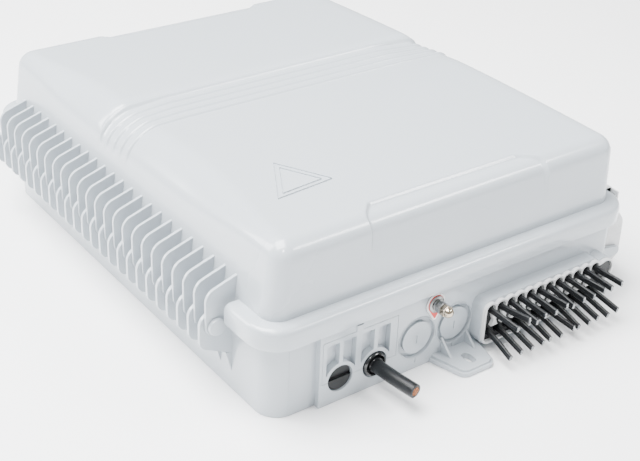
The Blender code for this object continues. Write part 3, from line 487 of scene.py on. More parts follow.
# %% Feeder cable: round jacket, stranded copper at the cut
FEEDER = Vector((-68.0, 0, 17.2))
route = [Vector((FEEDER.x, INNER_FRONT + 24, FEEDER.z)), Vector((FEEDER.x, INNER_FRONT, FEEDER.z)),
         Vector((FEEDER.x, PORT_WALL - 4, FEEDER.z)), Vector((FEEDER.x + 1.2, PORT_WALL - 20, FEEDER.z)),
         Vector((FEEDER.x + 4, PORT_WALL - 36, FEEDER.z - 0.6))]
path = smooth_route(route, 3.0)
FEEDER_R = 4.8
circle = [(FEEDER_R * cos(2 * pi * i / 32), FEEDER_R * sin(2 * pi * i / 32)) for i in range(32)]
bm, end = swept(circle, path)
bmesh.ops.inset_region(bm, faces=[end], thickness=0.35, depth=0.25)
bmesh.ops.inset_region(bm, faces=[end], thickness=1.2, depth=0.0)
bmesh.ops.inset_region(bm, faces=[end], thickness=0.12, depth=-0.5)
end.material_index = 1
strands = []
heading = (path[-1] - path[-2]).normalized()
turn = Vector((0, 0, 1)).rotation_difference(heading).to_matrix().to_4x4()
for ring_radius, count in ((0.0, 1), (1.2, 6), (2.35, 12)):
    for i in range(count):
        angle = 2 * pi * i / count + ring_radius
        strand = bmesh.new()
        offset = (ring_radius * cos(angle), ring_radius * sin(angle), -0.35 + 0.12 * (i % 3))
        spot = Matrix.Translation(path[-1]) @ turn @ Matrix.Translation(offset)
        bmesh.ops.create_cone(strand, cap_ends=True, segments=12, radius1=0.56, radius2=0.48, depth=1.2, matrix=spot)
        for face in strand.faces:
            face.material_index = 1
        strands.append(strand)
feeder = keep("feeder_cable_jacket", joined(bm, *strands), cable_black, looks=(copper,), stands_for=["feeder_cable"],
              slot="jacket")
print("feeder is", round(run_length(path), 1), "mm long")

# %% [markdown]
# ## Lid
# The lid is one thin moulding: nearly upright walls, shoulders that are wide on the hinge side and tight on the
# others, a top with a slight crown, five fine ridges across it and a shallow finger recess at each end. A bevelled
# cube can't change its shoulder along one side, so a grid is extruded down into an open box, and every point is then
# moved onto an ellipsoidal rounding of that box. Rows of the grid are crowded where a ridge or a shoulder needs them.


# %% Rows of the lid's grid
def rows_between(start, end, step):
    count = max(1, round(abs(end - start) / step))
    return [start + (end - start) * i / count for i in range(count)]


def shoulder_rows(edge, radius, count=8):
    """Rows that land at even angles once the shoulder is rounded. They run from the edge inwards."""
    inward = -1 if edge > 0 else 1
    return [edge + inward * radius * (1 - tan(radians(45 * (count - k) / count))) for k in range(count)]


def rise(start, end, value):
    share = min(max((value - start) / (end - start), 0.0), 1.0)
    return share * share * (3 - 2 * share)


HINGE_SHOULDER, SHOULDER, END_SHOULDER = 24.0, 12.0, 12.5
RIDGES = [38.0, 28.4, 18.8, 9.2, -0.4]
x_rows = shoulder_rows(-HALF_W, HINGE_SHOULDER, 12) + rows_between(-HALF_W + HINGE_SHOULDER, -80, 6)
x_rows += rows_between(-80, -56, 1.0) + rows_between(-56, 56, 7) + rows_between(56, 80, 1.0)
x_rows += rows_between(80, HALF_W - SHOULDER, 6) + shoulder_rows(HALF_W, SHOULDER)[::-1]
fine_rows = []
for ridge in sorted(RIDGES):
    fine_rows += [ridge + step for step in (-4.8, -2.8, -2.1, -1.4, -0.7, 0.0, 0.7, 1.4, 2.1, 2.8)]
y_rows = shoulder_rows(-HALF_L, END_SHOULDER) + rows_between(-HALF_L + END_SHOULDER, -161, 0.9)
y_rows += rows_between(-161, fine_rows[0], 6) + fine_rows + rows_between(RIDGES[0] + 4, 161, 6)
y_rows += rows_between(161, HALF_L - END_SHOULDER, 0.9) + shoulder_rows(HALF_L, END_SHOULDER)[::-1]
BOX_TOP = 123.0
z_rows = [BOX_TOP - HINGE_SHOULDER * (1 - tan(radians(45 * (12 - k) / 12))) for k in range(12)]
z_rows += rows_between(BOX_TOP - HINGE_SHOULDER, LEDGE, 3) + [LEDGE, SEAM]
print("grid", len(x_rows), "x", len(y_rows), "x", len(z_rows))


# %% The lid's shape
def lid_top(y):
    if y < -45:
        return 123.6 - 2.3 * ((y + 45) / 138) ** 2
    front = 123.6 - 2.2 * (max(y + 45, 0) / 79) ** 2 if y < 36 else 121.3
    back = 123.3 - 4.6 * ((y - 42) / 141) ** 1.3 if y > 42 else 123.3
    share = rise(33, 44, y)
    return front * (1 - share) + back * share


def hinge_shoulder(y):
    return SHOULDER + (HINGE_SHOULDER - SHOULDER) * rise(0, 100, HALF_L - 12 - abs(y))


def on_lid(x, y, z):
    """Where a point of the plain box lies on the finished lid."""
    radius = hinge_shoulder(y) if x < 0 else SHOULDER
    reach = Vector((radius, END_SHOULDER, radius if x < 0 else SHOULDER))
    heart = Vector((min(max(x, -HALF_W + reach.x), HALF_W - reach.x),
                    min(max(y, -HALF_L + reach.y), HALF_L - reach.y), min(z, BOX_TOP - reach.z)))
    push = Vector(((x - heart.x) / reach.x, (y - heart.y) / reach.y, (z - heart.z) / reach.z))
    if push.length:
        push.normalize()
    spot = heart + Vector((push.x * reach.x, push.y * reach.y, push.z * reach.z))
    # ridges, stronger on top and fading down the shoulders
    fade = rise(99, 110, spot.z)
    for ridge in RIDGES:
        spot += push * 1.4 * fade * max(0.0, 1 - ((y - ridge) / 2.1) ** 2)
    # recess at both ends
    for end in (-1, 1):
        flare = 61 + (17 if spot.x > 0 else 12) * rise(-3, 13, end * spot.y - (HALF_L - 17.5)) ** 0.7
        inside = 1 - rise(flare - 2.6, flare, abs(spot.x))
        inside *= rise(HALF_L - 19.5, HALF_L - 16.5, end * spot.y) * rise(90, 116, spot.z)
        spot -= push * 2.4 * inside
    share = max(spot.z - LEDGE, 0) / (BOX_TOP - LEDGE)
    waist = rise(-25, 33, y) * (1 - rise(33, 44, y))
    spot.z += (lid_top(y) - BOX_TOP - 3.0 * waist * rise(95, 140, abs(spot.x))) * share
    lift = max(spot.z - LEDGE, 0)
    spot.x += 0.135 * lift * (1 - rise(-120, -60, spot.x)) - 0.03 * lift * rise(60, 120, spot.x)
    spot.y += -0.035 * lift * rise(100, 170, spot.y) + 0.035 * lift * rise(100, 170, -spot.y)
    return spot


bm = bmesh.new()
across_count, along_count = len(x_rows) - 1, len(y_rows) - 1
bmesh.ops.create_grid(bm, x_segments=across_count, y_segments=along_count, size=1)
edges = [edge for edge in bm.edges if edge.is_boundary]
for _ in z_rows[1:]:
    made = bmesh.ops.extrude_edge_only(bm, edges=edges)["geom"]
    bmesh.ops.translate(bm, vec=(0, 0, -1), verts=verts_in(made))
    edges = [item for item in made if isinstance(item, bmesh.types.BMEdge)]
for vert in bm.verts:
    i, j = round((vert.co.x + 1) / 2 * across_count), round((vert.co.y + 1) / 2 * along_count)
    vert.co = on_lid(x_rows[i], y_rows[j], z_rows[round(-vert.co.z)])
dome = keep("lid_dome", bm, case_grey, "lid", ["lid_shell"], looks=(case_inside,), slot="case")
wall = dome.modifiers.new("wall", "SOLIDIFY")
wall.thickness, wall.offset, wall.material_offset = WALL * MM, -1, 1
print("dome faces:", len(dome.data.polygons))

# %% [markdown]
# ### Ledge and skirt
# Round the foot of the lid runs a flat ledge, and from it a skirt hangs over the base to keep rain off the seal. It is
# one cross-section led round the case: pushed along each side, then spun about each corner. It stops short on the
# hinge side, where the fins are.

# %% Ledge and skirt
CORNER = 11.5
bm = bmesh.new()
ROUND = 4.6
section = [(-1.5, LEDGE)]
section += [(SKIRT_OUT - ROUND + ROUND * sin(radians(a)), LEDGE - ROUND + ROUND * cos(radians(a)))
            for a in range(0, 91, 15)]
section += [(SKIRT_OUT, SKIRT_FOOT + 1.2), (SKIRT_OUT - 0.4, SKIRT_FOOT + 0.3), (SKIRT_OUT - 1.2, SKIRT_FOOT),
            (SKIRT_OUT - 2.4, SKIRT_FOOT), (SKIRT_OUT - WALL, SKIRT_FOOT + 0.6), (SKIRT_OUT - WALL, LEDGE - 6.2),
            (SKIRT_OUT - WALL - 1.8, LEDGE - 4.4), (SKIRT_OUT - WALL - 4, LEDGE - 3.6), (-1.5, LEDGE - 3.6)]
gap_front, gap_back = PIN_START - 1.7, PIN_END + 1.0
ring_verts = [bm.verts.new((-HALF_W - out, gap_front, z)) for out, z in section]
geom = ring_verts + [bm.edges.new((a, b)) for a, b in zip(ring_verts, ring_verts[1:] + ring_verts[:1])]


def push_on(bm, geom, step):
    made = bmesh.ops.extrude_edge_only(bm, edges=[g for g in geom if isinstance(g, bmesh.types.BMEdge)])["geom"]
    verts = verts_in(made)
    bmesh.ops.translate(bm, vec=step, verts=verts)
    inside = set(verts)
    return verts + [g for g in made if isinstance(g, bmesh.types.BMEdge) and set(g.verts) <= inside]


def spin_on(bm, geom, centre):
    return bmesh.ops.spin(bm, geom=geom, cent=centre, axis=(0, 0, 1), angle=pi / 2, steps=10)["geom_last"]


turn_x, turn_y = HALF_W - CORNER, HALF_L - CORNER
geom = push_on(bm, geom, (0, -turn_y - gap_front, 0))
geom = spin_on(bm, geom, (-turn_x, -turn_y, 0))
geom = push_on(bm, geom, (2 * turn_x, 0, 0))
geom = spin_on(bm, geom, (turn_x, -turn_y, 0))
geom = push_on(bm, geom, (0, 2 * turn_y, 0))
geom = spin_on(bm, geom, (turn_x, turn_y, 0))
geom = push_on(bm, geom, (-2 * turn_x, 0, 0))
geom = spin_on(bm, geom, (-turn_x, turn_y, 0))
geom = push_on(bm, geom, (0, gap_back - turn_y, 0))
bmesh.ops.holes_fill(bm, edges=[edge for edge in bm.edges if edge.is_boundary], sides=0)
keep("lid_skirt", bm, case_grey, "lid", ["lid_shell"], slot="case")
print("skirt runs from", round(gap_front), "round to", round(gap_back))

# %% [markdown]
# ### Emboss
# A plain double outline of a triangle stands on the top near the front. Each line is a
# triangle inset once, with its middle deleted, so that only a thin band is left to raise.

# %% Triangle outline
bm = bmesh.new()
corners = [Vector((-83.5, -91.5, 0)), Vector((-62.9, -127.7, 0)), Vector((-107.3, -131.6, 0))]
heart = sum(corners, Vector()) / 3
for size in (1.0, 0.72):
    face = bm.faces.new([bm.verts.new(heart + (corner - heart) * size) for corner in corners])
    bmesh.ops.inset_region(bm, faces=[face], thickness=1.2, use_boundary=True)
bmesh.ops.delete(bm, geom=[face for face in bm.faces if len(face.verts) == 3], context="FACES")
made = bmesh.ops.extrude_face_region(bm, geom=list(bm.faces))["geom"]
bmesh.ops.translate(bm, vec=(0, 0, 1.4), verts=verts_in(made))
for vert in bm.verts:
    vert.co.z += lid_top(vert.co.y) - 0.6
keep("lid_emboss", bm, case_grey, "lid", ["lid_shell"], soften=0.4, slot="case")
print("emboss stands", 0.8, "mm proud")

# %% [markdown]
# ## Hinge
# Twenty-four pairs of fins share one long pin. Each fin is a flat outline whose corners are rounded by bevelling
# single points, pulled to its thickness and repeated by an Array, because the pitch is exact on the real moulding.

# %% Fins and pin
lid_fin = profile([(-HALF_W + 5, LEDGE + 15.6), (PIN.x - 7.1, LEDGE + 7.4, 6.5), (PIN.x - 7.1, PIN.z - 6.8, 6.5),
                   (PIN.x + 6.4, PIN.z - 6.8, 6.0), (-HALF_W - 3.2, SEAM + 3.5), (-HALF_W + 5, SEAM + 3.5)],
                  FIN_FIRST - 1.1, FIN_FIRST + 1.1)
fins = keep("lid_fins", lid_fin, case_grey, "lid", ["lid_shell"], soften=0.35, slot="case")
repeated(fins, FINS, (0, FIN_PITCH, 0))
knuckle = [(PIN.x - 1.1 + 9.0 * cos(radians(a)), PIN.z + 9.0 * sin(radians(a))) for a in range(40, 181, 10)]
base_fin = profile([(-HALF_W + 1, RIM - 3), *knuckle, (PIN.x - 10.1, PIN.z - 15.5, 4.0), (-HALF_W + 1, PIN.z - 27.5)],
                   FIN_FIRST + 1.6, FIN_FIRST + 4.2)
fins = moulded("base_fins", base_fin, soften=0.35)
repeated(fins, FINS, (0, FIN_PITCH, 0))
barrel = turned([(0, 2.3), (0, 6.4), (2.6, 6.4), (3.2, 5.9), (3.2, 2.3), (0, 2.3)],
                Vector((PIN.x, FIN_FIRST + 4.1, PIN.z)), steps=28)
fins = moulded("base_barrels", barrel, soften=0.2)
repeated(fins, FINS, (0, FIN_PITCH, 0))
web = profile([(-HALF_W + 1, PIN.z - 27), (-HALF_W - 4.6, PIN.z - 25.5), (-HALF_W + 0.6, 12)],
              FIN_FIRST + 2.1, FIN_FIRST + 3.7)
fins = moulded("base_fin_webs", web, soften=0.3)
repeated(fins, FINS, (0, FIN_PITCH, 0))
pin = joined(turned([(0, 0), (0, 4.6), (0.4, 5.6), (1.2, 6.0), (2.6, 6.0), (2.6, 2.0), (2.6, 0)],
                    Vector((PIN.x, PIN_START, PIN.z))),
             rod(Vector((PIN.x, PIN_START + 2, PIN.z)), PIN_END - PIN_START - 2, 2.0, sides=20))
keep("hinge_rod", pin, case_grey, "base", ["hinge_pin"], slot="case")
print(FINS, "pairs of fins from", round(FIN_FIRST, 1))

# %% [markdown]
# ## Base
# The base is a tray. A cube has its upright edges rounded, its top is inset by the wall's thickness and pushed down to
# the floor. The port wall is a thicker pad in front of it, with rounded knock-out grooves carved by Booleans, which
# give a clean groove with square corners like the tool's own.

# %% Tray
bm = block(-HALF_W, HALF_W, -HALF_L, HALF_L, 0, RIM)
upright = [e for e in bm.edges if abs(e.verts[0].co.z - e.verts[1].co.z) > 1]
bmesh.ops.bevel(bm, geom=upright, offset=16, affect="EDGES", segments=10, profile=0.5, material=-1)
top = max(bm.faces, key=lambda f: f.calc_center_median().z)
bmesh.ops.inset_region(bm, faces=[top], thickness=WALL)
sunk = bmesh.ops.extrude_discrete_faces(bm, faces=[top])["faces"][0]
bmesh.ops.translate(bm, vec=(0, 0, WALL - RIM), verts=sunk.verts)
seam = block(-132.4, -131.9, -HALF_L - 1, -HALF_L + 0.35, -1, RIM + 1)
moulded("base_tray", carved(bm, seam), soften=0.7, steps=3)
print("tray", round(2 * HALF_W), "x", round(2 * HALF_L), "x", round(RIM))

# %% Port wall with knock-outs
PORTS = (-95.5, -68.0)
PORT_Z, PORT_R = 17.2, 9.6
KNOCKOUTS, KNOCKOUT_Z = (-33.5, -1.5), 24.3
bm = block(-112, HALF_W, PORT_WALL, -HALF_L + 3, 0, RIM)
corner = [e for e in bm.edges if all(v.co.x > HALF_W - 1 and v.co.y < PORT_WALL + 1 for v in e.verts)]
bmesh.ops.bevel(bm, geom=corner, offset=7.2, affect="EDGES", segments=8, profile=0.5, material=-1)
cutters = [block(-110, -50.5, PORT_WALL - 1, -HALF_L + 1.4, PORT_Z, 48.5)]
cutters += [rod(Vector((x, PORT_WALL - 1, PORT_Z)), 9, PORT_R, sides=48) for x in PORTS]
for x in KNOCKOUTS:
    spot = Vector((x, PORT_WALL, KNOCKOUT_Z))
    groove = turned([(-1, 14.8), (2.4, 14.8), (2.4, 11.6), (-1, 12.0), (-1, 14.8)], spot, steps=64)
    cutters.append(groove)
    cutters.append(block(x - 0.35, x + 0.35, PORT_WALL - 1, PORT_WALL + 0.6, KNOCKOUT_Z - 4.5, KNOCKOUT_Z + 1.5))
    cutters.append(block(x - 0.3, x + 0.3, PORT_WALL - 1, PORT_WALL + 0.5, KNOCKOUT_Z - 19.5, KNOCKOUT_Z - 16.2))
moulded("port_wall", carved(bm, *cutters), soften=0.4)
for x in KNOCKOUTS:
    lip = turned([(0.4, 15.9), (-0.35, 15.7), (-0.55, 15.3), (-0.35, 14.95), (0.4, 14.9)],
                 Vector((x, PORT_WALL, KNOCKOUT_Z)), steps=64)
    moulded(f"knockout_lip_{KNOCKOUTS.index(x) + 1}", lip)
print("two ports, two knock-outs")

# %% Cable entry clamp: arches, ribs and four deep windows
bm = block(-109.7, -50.8, PORT_WALL, INNER_FRONT, PORT_Z + 0.3, 48.2)
cutters = [rod(Vector((x, PORT_WALL - 1, PORT_Z)), 12, PORT_R, sides=48) for x in PORTS]
for x in PORTS:
    for side in (-1, 1):
        near, far = sorted((x + side * 1.5, x + side * 11.4))
        window = block(near, far, PORT_WALL - 1, INNER_FRONT - 0.9, PORT_Z + 5.5, 45.0)
        cutters.append(carved(window, rod(Vector((x, PORT_WALL - 3, PORT_Z)), 20, PORT_R + 2.6, sides=48)))
keep("entry_clamp", carved(bm, *cutters), case_grey, "base", ["cable_entry_clamp"], soften=0.35, slot="case")
tab = block(-84.6, -79.4, PORT_WALL - 0.9, PORT_WALL + 3, 48.4, 53.2)
moulded("entry_clamp_tab", tab, soften=0.5)
print("clamp from", -109.7, "to", -50.8)

# %% [markdown]
# ### Rubber in the ports
# The blank port holds a plug with a step across it. The feeder runs through a glossy bell, which is a turned profile:
# a rolled outer lip, a waist and an inner lip that grips the cable.

# %% Plug and bell
plug = turned([(0, 0), (0, 8.6), (0.5, 9.2), (7.4, 9.2), (7.4, 0)],
              Vector((PORTS[0], PORT_WALL + 0.9, PORT_Z)), steps=48)
step = profile([(PORT_WALL - 1, PORT_Z - 0.2), (PORT_WALL + 2.6, PORT_Z - 0.2), (PORT_WALL + 1.2, PORT_Z + 12),
                (PORT_WALL - 1, PORT_Z + 12)], PORTS[0] - 12, PORTS[0] + 12, "YZ")
keep("port_plug", carved(plug, step), seal_black, "base", ["blank_plug"], soften=0.3, slot="rubber")
bell = turned([(9.0, 4.85), (9.0, 9.2), (1.6, 9.2), (0.8, 8.9), (-0.2, 8.9), (-1.3, 8.4), (-1.7, 7.8), (-1.3, 7.2),
               (0.6, 6.9), (1.9, 6.4), (1.6, 6.0), (0.3, 5.8), (-1.4, 5.6), (-2.0, 5.3), (-2.0, 5.0),
               (-1.6, 4.85), (9.0, 4.85)],
              Vector((PORTS[1], PORT_WALL, PORT_Z)), steps=56)
keep("feeder_bell", bell, bell_black, "base", ["feeder_grommet"], slot="rubber")
print("plug and bell in place")


# %% [markdown]
# ### Drop cable port
# Twelve lobes follow the upper cables and a wider blank lobe ends the row. The rim is a flat outline with a hole,
# extruded, as a die-cut sheet would be, and softened. The black seal sits a little behind it, with one hole for each
# cable, and pale waisted webs stand between the two rows.

# %% The port's outline
def arc(cx, cz, radius, start, end, count):
    return [(cx + radius * cos(radians(start + (end - start) * i / count)),
             cz + radius * sin(radians(start + (end - start) * i / count))) for i in range(count + 1)]


LAST_DROP = DROP_FIRST + DROP_PITCH * (DROPS - 1)
BLANK = (LAST_DROP + 11.2, ROWS["upper"] - 5.2)


def port_outline(grow, spread, tooth=0.0, flat=False):
    radius = 3.9 + grow
    bottom = ROWS["lower"] - 7.0 - grow
    points = arc(*BLANK, 7.0 + grow, -30, 118, 12)
    for k in reversed(range(DROPS)):
        if flat and 0 < k < DROPS - 1:
            continue
        x, last = DROP_FIRST + DROP_PITCH * k, k == 0
        if tooth and k < DROPS - 1:
            points.append((x + radius, ROWS["upper"] - tooth))
        points += arc(x, ROWS["upper"], radius, 90 if flat and last else 90 - spread,
                      180 if last else 90 if flat else 90 + spread, 10)
        if tooth and not last:
            points.append((x - radius, ROWS["upper"] - tooth))
    points += arc(DROP_FIRST, bottom + radius, radius, 180, 270, 6)
    return points + arc(LAST_DROP, bottom + radius, radius, 270, 350, 6)


def sheet_cut(outline, holes, near, far):
    """A filled flat curve, made a mesh, then pulled out along Y."""
    curve = bpy.data.curves.new("outline", "CURVE")
    curve.dimensions, curve.fill_mode = "2D", "BOTH"
    for loop in (outline, *holes):
        line = curve.splines.new("POLY")
        line.points.add(len(loop) - 1)
        line.use_cyclic_u = True
        for point, (u, v) in zip(line.points, loop):
            point.co = (u, v, 0, 1)
    guide = bpy.data.objects.new("outline", curve)
    stage.collection.objects.link(guide)
    bpy.context.view_layer.update()
    bm = bmesh.new()
    bm.from_mesh(bpy.data.meshes.new_from_object(guide.evaluated_get(bpy.context.evaluated_depsgraph_get())))
    bpy.data.objects.remove(guide)
    bmesh.ops.remove_doubles(bm, verts=bm.verts, dist=0.001)
    bmesh.ops.transform(bm, matrix=Matrix(((1, 0, 0, 0), (0, 0, 1, near), (0, 1, 0, 0), (0, 0, 0, 1))), verts=bm.verts)
    bmesh.ops.dissolve_limit(bm, angle_limit=radians(1), verts=bm.verts, edges=bm.edges)
    made = bmesh.ops.extrude_face_region(bm, geom=list(bm.faces))["geom"]
    bmesh.ops.translate(bm, vec=(0, far - near, 0), verts=verts_in(made))
    return bm


opening = port_outline(0.0, 90, tooth=2.4)
housing = sheet_cut(port_outline(2.2, 60, flat=True), [port_outline(0.6, 55)], DROP_FACE + 2.6, PORT_WALL + 0.5)
keep("drop_housing", housing, case_grey, "base", ["drop_port_frame"], soften=0.6, slot="case")
rim = sheet_cut(port_outline(1.5, 50), [opening], DROP_FACE, DROP_FACE + 3.2)
keep("drop_rim", rim, latch_white, "base", ["drop_port_frame"], soften=0.3, slot="case")
holes = [arc(DROP_FIRST + DROP_PITCH * k, z, 2.9, 0, 337.5, 15) for z in ROWS.values() for k in range(DROPS)]
seal = sheet_cut(port_outline(0.4, 55), holes, DROP_FACE + 3.0, INNER_FRONT + 6)
keep("drop_seal", seal, seal_black, "base", ["drop_port_seal"], soften=0.3, slot="rubber")
blank = turned([(0, 0), (0, 5.9), (0.5, 6.5), (3.0, 6.5), (3.0, 0)],
               Vector((BLANK[0], DROP_FACE + 0.9, BLANK[1])), steps=40)
keep("drop_blank", blank, seal_black, "base", ["drop_port_seal"], slot="rubber")
print("opening has", len(opening), "points")

# %% Waisted webs between the rows
middle = sum(ROWS.values()) / 2
x = DROP_FIRST + DROP_PITCH / 2
web = profile([(x - 1.0, middle), (x - 3.1, middle + 4.6), (x + 3.1, middle + 4.6), (x + 1.0, middle),
               (x + 3.1, middle - 4.6), (x - 3.1, middle - 4.6)], DROP_FACE + 0.3, DROP_FACE + 4)
webs = keep("drop_webs", web, latch_white, "base", ["drop_port_divider"], soften=0.3, slot="latch")
repeated(webs, DROPS - 1, (DROP_PITCH, 0, 0))
print("webs:", DROPS - 1)

# %% [markdown]
# ## Mounting lugs
# A lug is a tapered plate with a raised field inset from its edge, a slot for the wall screw, and two thin gussets
# that carry the load into the wall. Both lugs are the same, and the rear one is turned about.

# %% Lugs
for label, side, root in (("front", -1, PORT_WALL), ("rear", 1, HALF_L)):
    reach = HALF_L + 32
    edge = [(-21, side * (abs(root) - 2)), (21, side * (abs(root) - 2)), (21, side * abs(root)),
            (13.6, side * reach, 5.0), (-13.6, side * reach, 5.0), (-21, side * abs(root))]
    field = [(-18.5, side * (abs(root) - 2)), (18.5, side * (abs(root) - 2)), (18.8, side * (abs(root) + 1)),
             (12.2, side * (reach - 1.5), 4.0), (-12.2, side * (reach - 1.5), 4.0), (-18.8, side * (abs(root) + 1))]
    middle_y = side * (HALF_L + 20)
    slot = [(3.25 * cos(radians(a)), middle_y + (2.25 if a < 180 else -2.25) + 3.25 * sin(radians(a)))
            for a in range(0, 360, 12)]
    lower = carved(profile(edge, 0, 3.2, "XY"), profile(slot, -1, 6, "XY"))
    upper = carved(profile(field, 3.0, 5.0, "XY"), profile(slot, -1, 6, "XY"))
    moulded(f"lug_{label}", lower, soften=0.5)
    moulded(f"lug_{label}_field", upper, soften=0.5)
    for x in (-10.5, 10.5):
        gusset = profile([(side * (abs(root) - 1), 4.5), (side * (abs(root) + 11), 4.5),
                          (side * (abs(root) - 1), 15.5)], x - 0.9, x + 0.9, "YZ")
        moulded(f"lug_{label}_gusset_{'left' if x < 0 else 'right'}", gusset, soften=0.3)
print("lugs reach", round(reach), "mm from the middle")

# %% [markdown]
# ## Earth stud
# Zinc-plated washers and nut, a red tag with a white edge, and a bright acorn nut. Hexagons are six-sided cones with
# their corners chamfered, and the acorn is a turned dome on top of one.

# %% Earth stud, washers, nut and acorn
X, Z = -20.5, 46.8


def washer(name, node, look, slot, steps=48):
    a, b = (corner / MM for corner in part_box(node))
    radius = (b.x - a.x) / 2
    shape = turned([(a.y, 2.7), (b.y, 2.7), (b.y, radius - 0.2), (b.y - 0.15, radius), (a.y + 0.15, radius),
                    (a.y, radius - 0.2), (a.y, 2.7)], Vector((X, 0, Z)), steps=steps)
    return keep(name, shape, look, "base", [node], slot=slot)


washer("earth_flat_washer", "ground_flat_washer", zinc, "steel")
washer("earth_spring_washer", "ground_spring_washer", zinc, "steel")
a, b = (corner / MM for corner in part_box("ground_hex_nut"))
nut = rod(Vector((X, a.y, Z)), b.y - a.y, 4.6, sides=6)
nut = carved(nut, rod(Vector((X, a.y - 1, Z)), 8, 2.6, sides=24))
keep("earth_nut", nut, zinc, "base", ["ground_hex_nut"], soften=0.35, slot="steel")
a, b = (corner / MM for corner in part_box("ground_dome_nut"))
top = a.y + 3.7
flats = rod(Vector((X, top, Z)), b.y - top, 4.5, sides=6)
keep("acorn_flats", flats, nickel, "base", ["ground_dome_nut"], soften=0.45, slot="nickel")
dome = turned([(0, 0), (0.12, 1.2), (0.55, 2.1), (1.4, 3.0), (2.6, 3.55), (3.7, 3.7), (4.1, 3.7), (4.1, 0)],
              Vector((X, a.y, Z)), steps=40)
keep("acorn_dome", dome, nickel, "base", ["ground_dome_nut"], slot="nickel")
a, b = (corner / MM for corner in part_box("ground_stud"))
thread = [(top, 0.0), (top, 2.1)]
turn_at = top + 0.4
while turn_at < b.y - 3.4:
    thread += [(turn_at, 2.1), (turn_at + 0.4, 2.5)]
    turn_at += 0.8
thread += [(b.y - 3.4, 2.5), (b.y - 3.4, 4.4), (b.y, 4.4), (b.y, 0.0)]
keep("earth_stud", turned(thread, Vector((X, 0, Z)), steps=28), zinc, "base", ["ground_stud"], slot="steel")
a, b = (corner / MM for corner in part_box("ground_tag"))
for name, grow, front, look in (("earth_tag", 0.0, 0.0, tag_white), ("earth_tag_face", -1.2, -0.12, tag_red)):
    outline = arc(X, Z, 7.6 + grow, -28, 208, 24) + arc(X, Z - 10.6, 1.9 + grow, 200, 340, 6)
    plate = sheet_cut(outline, [arc(X, Z, 2.8, 0, 345, 23)], a.y + front, b.y)
    keep(name, plate, look, "base", ["ground_tag"], soften=0.12, slot="tag")
print("stud assembly from", round(top, 1))

# %% [markdown]
# ## Latches
# Two white clips hold the lid shut. Each is one outline pulled to its width, with generous rounding, and a narrower
# nose that reaches over the ledge. Each turns about a steel pin between two ears on the base.

# %% Latches and ears
for label, side in (("front", -1), ("rear", 1)):
    a, b = (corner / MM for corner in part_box(f"latch_{label}"))
    pa, pb = (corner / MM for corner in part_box(f"latch_pin_{label}"))
    pivot = (pa + pb) / 2
    foot = HALF_W + 5.0
    body = profile([(a.x + 0.3, b.z - 3.2), (a.x + 1.8, b.z - 3.2, 0.7), (a.x + 1.8, RIM - 3), (b.x - 3, RIM - 7, 7.0),
                    (b.x, RIM - 16, 8.0), (b.x, a.z + 1, 8.0), (foot, a.z - 0.5, 6.0), (foot, RIM - 6.0),
                    (a.x + 0.3, RIM - 6.0)], a.y, b.y)
    keep(f"latch_{label}_clip", body, latch_white, f"latch_{label}", [f"latch_{label}"], soften=1.1, steps=4,
         slot="latch")
    centre = (a.y + b.y) / 2
    nose = profile([(HALF_W + 6.2, LEDGE + 0.5), (HALF_W + 6.2, LEDGE + 1.5, 0.8), (a.x + 1.0, LEDGE + 1.2),
                    (a.x + 1.4, b.z - 8), (a.x + 0.9, b.z - 8), (a.x + 0.9, LEDGE + 0.5)], centre - 8, centre + 8)
    keep(f"latch_{label}_nose", nose, latch_white, f"latch_{label}", [f"latch_{label}"], soften=0.5, slot="latch")
    pin = rod(Vector((pivot.x, pa.y + 0.4, pivot.z)), pb.y - pa.y - 0.8, 1.6, sides=20)
    keep(f"latch_{label}_rod", pin, zinc, "base", [f"latch_pin_{label}"], slot="steel")
    for near in (a.y - 3.3, b.y + 0.3):
        ear = profile([(HALF_W - 3, pivot.z - 9), (pivot.x - 1, pivot.z - 3.6, 2.0),
                       (pivot.x + 3.2, pivot.z - 3.2, 3.0), (pivot.x + 3.2, pivot.z + 3.2, 3.0),
                        (HALF_W - 3, pivot.z + 7)], near, near + 3)
        moulded(f"latch_{label}_ear_{'a' if near < a.y else 'b'}", ear, soften=0.4)
print("latch nose reaches in to", round(HALF_W + 6.2, 1))

# %% [markdown]
# ## Inside
# The lid opens, so the inside is finished too: the seal on the rim, bosses for the mounting plate, and the metal and
# plastic parts that carry the splices and adapters. Those parts are right as packed, so they only get real finishes.

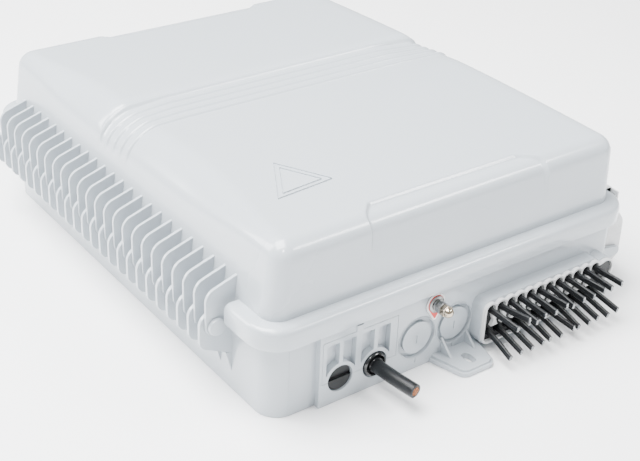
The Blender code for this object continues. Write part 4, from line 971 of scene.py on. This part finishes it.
# %% Rim seal and bosses
bm = bmesh.new()
edge = 0.4
face = bm.faces.new([bm.verts.new((sx * (HALF_W - edge), sy * (HALF_L - edge), RIM + 0.3))
                     for sx, sy in ((-1, -1), (1, -1), (1, 1), (-1, 1))])
bmesh.ops.bevel(bm, geom=list(bm.verts), offset=15.6, affect="VERTICES", segments=10, profile=0.5, material=-1)
face = bm.faces[:][0]
bmesh.ops.inset_region(bm, faces=[face], thickness=2.2, use_boundary=True)
bmesh.ops.delete(bm, geom=[face], context="FACES")
made = bmesh.ops.extrude_face_region(bm, geom=list(bm.faces))["geom"]
bmesh.ops.translate(bm, vec=(0, 0, 2.4), verts=verts_in(made))
keep("rim_seal", bm, seal_black, "base", ["lid_gasket"], soften=0.6, steps=3, slot="rubber")
for index in range(1, 5):
    a, b = (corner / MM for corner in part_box(f"plate_screw_{index}"))
    x, y = (a.x + b.x) / 2, (a.y + b.y) / 2
    boss = rod(Vector((x, y, 2)), 10, 5, "Z", 32, tip=4.6)
    moulded(f"plate_boss_{index}", boss, soften=0.4)
    head = turned([(0, 0), (0, 3.2), (0.9, 3.2), (1.7, 2.7), (2.2, 1.6), (2.2, 0)], Vector((x, y, b.z - 2.2)), "Z", 28)
    slots = [block(x - u, x + u, y - v, y + v, b.z - 0.9, b.z + 1) for u, v in ((1.7, 0.35), (0.35, 1.7))]
    keep(f"plate_screw_{index}_head", carved(head, *slots), zinc, "base", [f"plate_screw_{index}"], slot="steel")
a, b = (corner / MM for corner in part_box("feeder_clamp"))
moulded("feeder_saddle", block(a.x, b.x, a.y, b.y, 2, PORT_Z - 5.0), soften=0.4)
print("rim seal and bosses made")

# %% Finishes for the carried-over parts
LOOKS = {"mounting_plate": sheet_paint, "adapter_panel": sheet_paint, "panel_pin": zinc,
         "adapter_row_lower": adapter_green, "adapter_row_upper": adapter_green, "splice_tray": tray_grey,
         "tray_cover": cap_clear, "splitter_module": module_dark, "feeder_clamp": zinc, "clamp_screw_left": zinc,
         "clamp_screw_right": zinc}
for node, look in LOOKS.items():
    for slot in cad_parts[node].material_slots:
        slot.material = look
print("refinished", len(LOOKS), "carried-over parts")

# %% [markdown]
# ## Studio
# A white sweep under broad soft light. The floor is a plain pale sheet with a light gloss, so the box has a soft
# contact shadow and a faint reflection. The light comes mostly from above and from the hinge side.

# %% Floor
bm = bmesh.new()
bmesh.ops.create_grid(bm, x_segments=1, y_segments=1, size=6, matrix=Matrix.Translation((0, 0, -0.0003)))
mesh = bpy.data.meshes.new("floor")
bm.to_mesh(mesh)
bm.free()
floor = bpy.data.objects.new("floor", mesh)
stage.collection.objects.link(floor)
paper = bpy.data.materials.new("paper_white")
paper.use_nodes = True
shader = paper.node_tree.nodes["Principled BSDF"]
shader.inputs["Base Color"].default_value = (0.96, 0.965, 0.97, 1)
shader.inputs["Roughness"].default_value = 0.32
mesh.materials.append(paper)
print("floor laid")

# %% Lights
sky = bpy.data.worlds.new("soft_room")
sky.use_nodes = True
sky.node_tree.nodes["Background"].inputs["Color"].default_value = (0.97, 0.985, 1.0, 1)
sky.node_tree.nodes["Background"].inputs["Strength"].default_value = 0.68
stage.world = sky


def softbox(name, place, aim, size, power):
    light = bpy.data.lights.new(name, "AREA")
    light.shape, light.size, light.size_y, light.energy = "RECTANGLE", size[0], size[1], power
    lamp = bpy.data.objects.new(name, light)
    stage.collection.objects.link(lamp)
    lamp.location = place
    lamp.rotation_euler = (Vector(aim) - Vector(place)).to_track_quat("-Z", "Y").to_euler()
    return lamp


softbox("overhead", (-0.6, 0.3, 1.9), (0, 0, 0), (1.5, 1.3), 205)
softbox("hinge_side", (-1.6, 1.5, 1.3), (0, 0, 0.05), (0.5, 1.4), 56)
softbox("port_side", (1.1, -1.1, 1.5), (0, 0, 0.05), (0.9, 0.25), 28)
softbox("near_corner", (-1.0, -1.0, 1.9), (0, -0.1, 0.05), (0.3, 0.3), 18)
print("room and four softboxes")
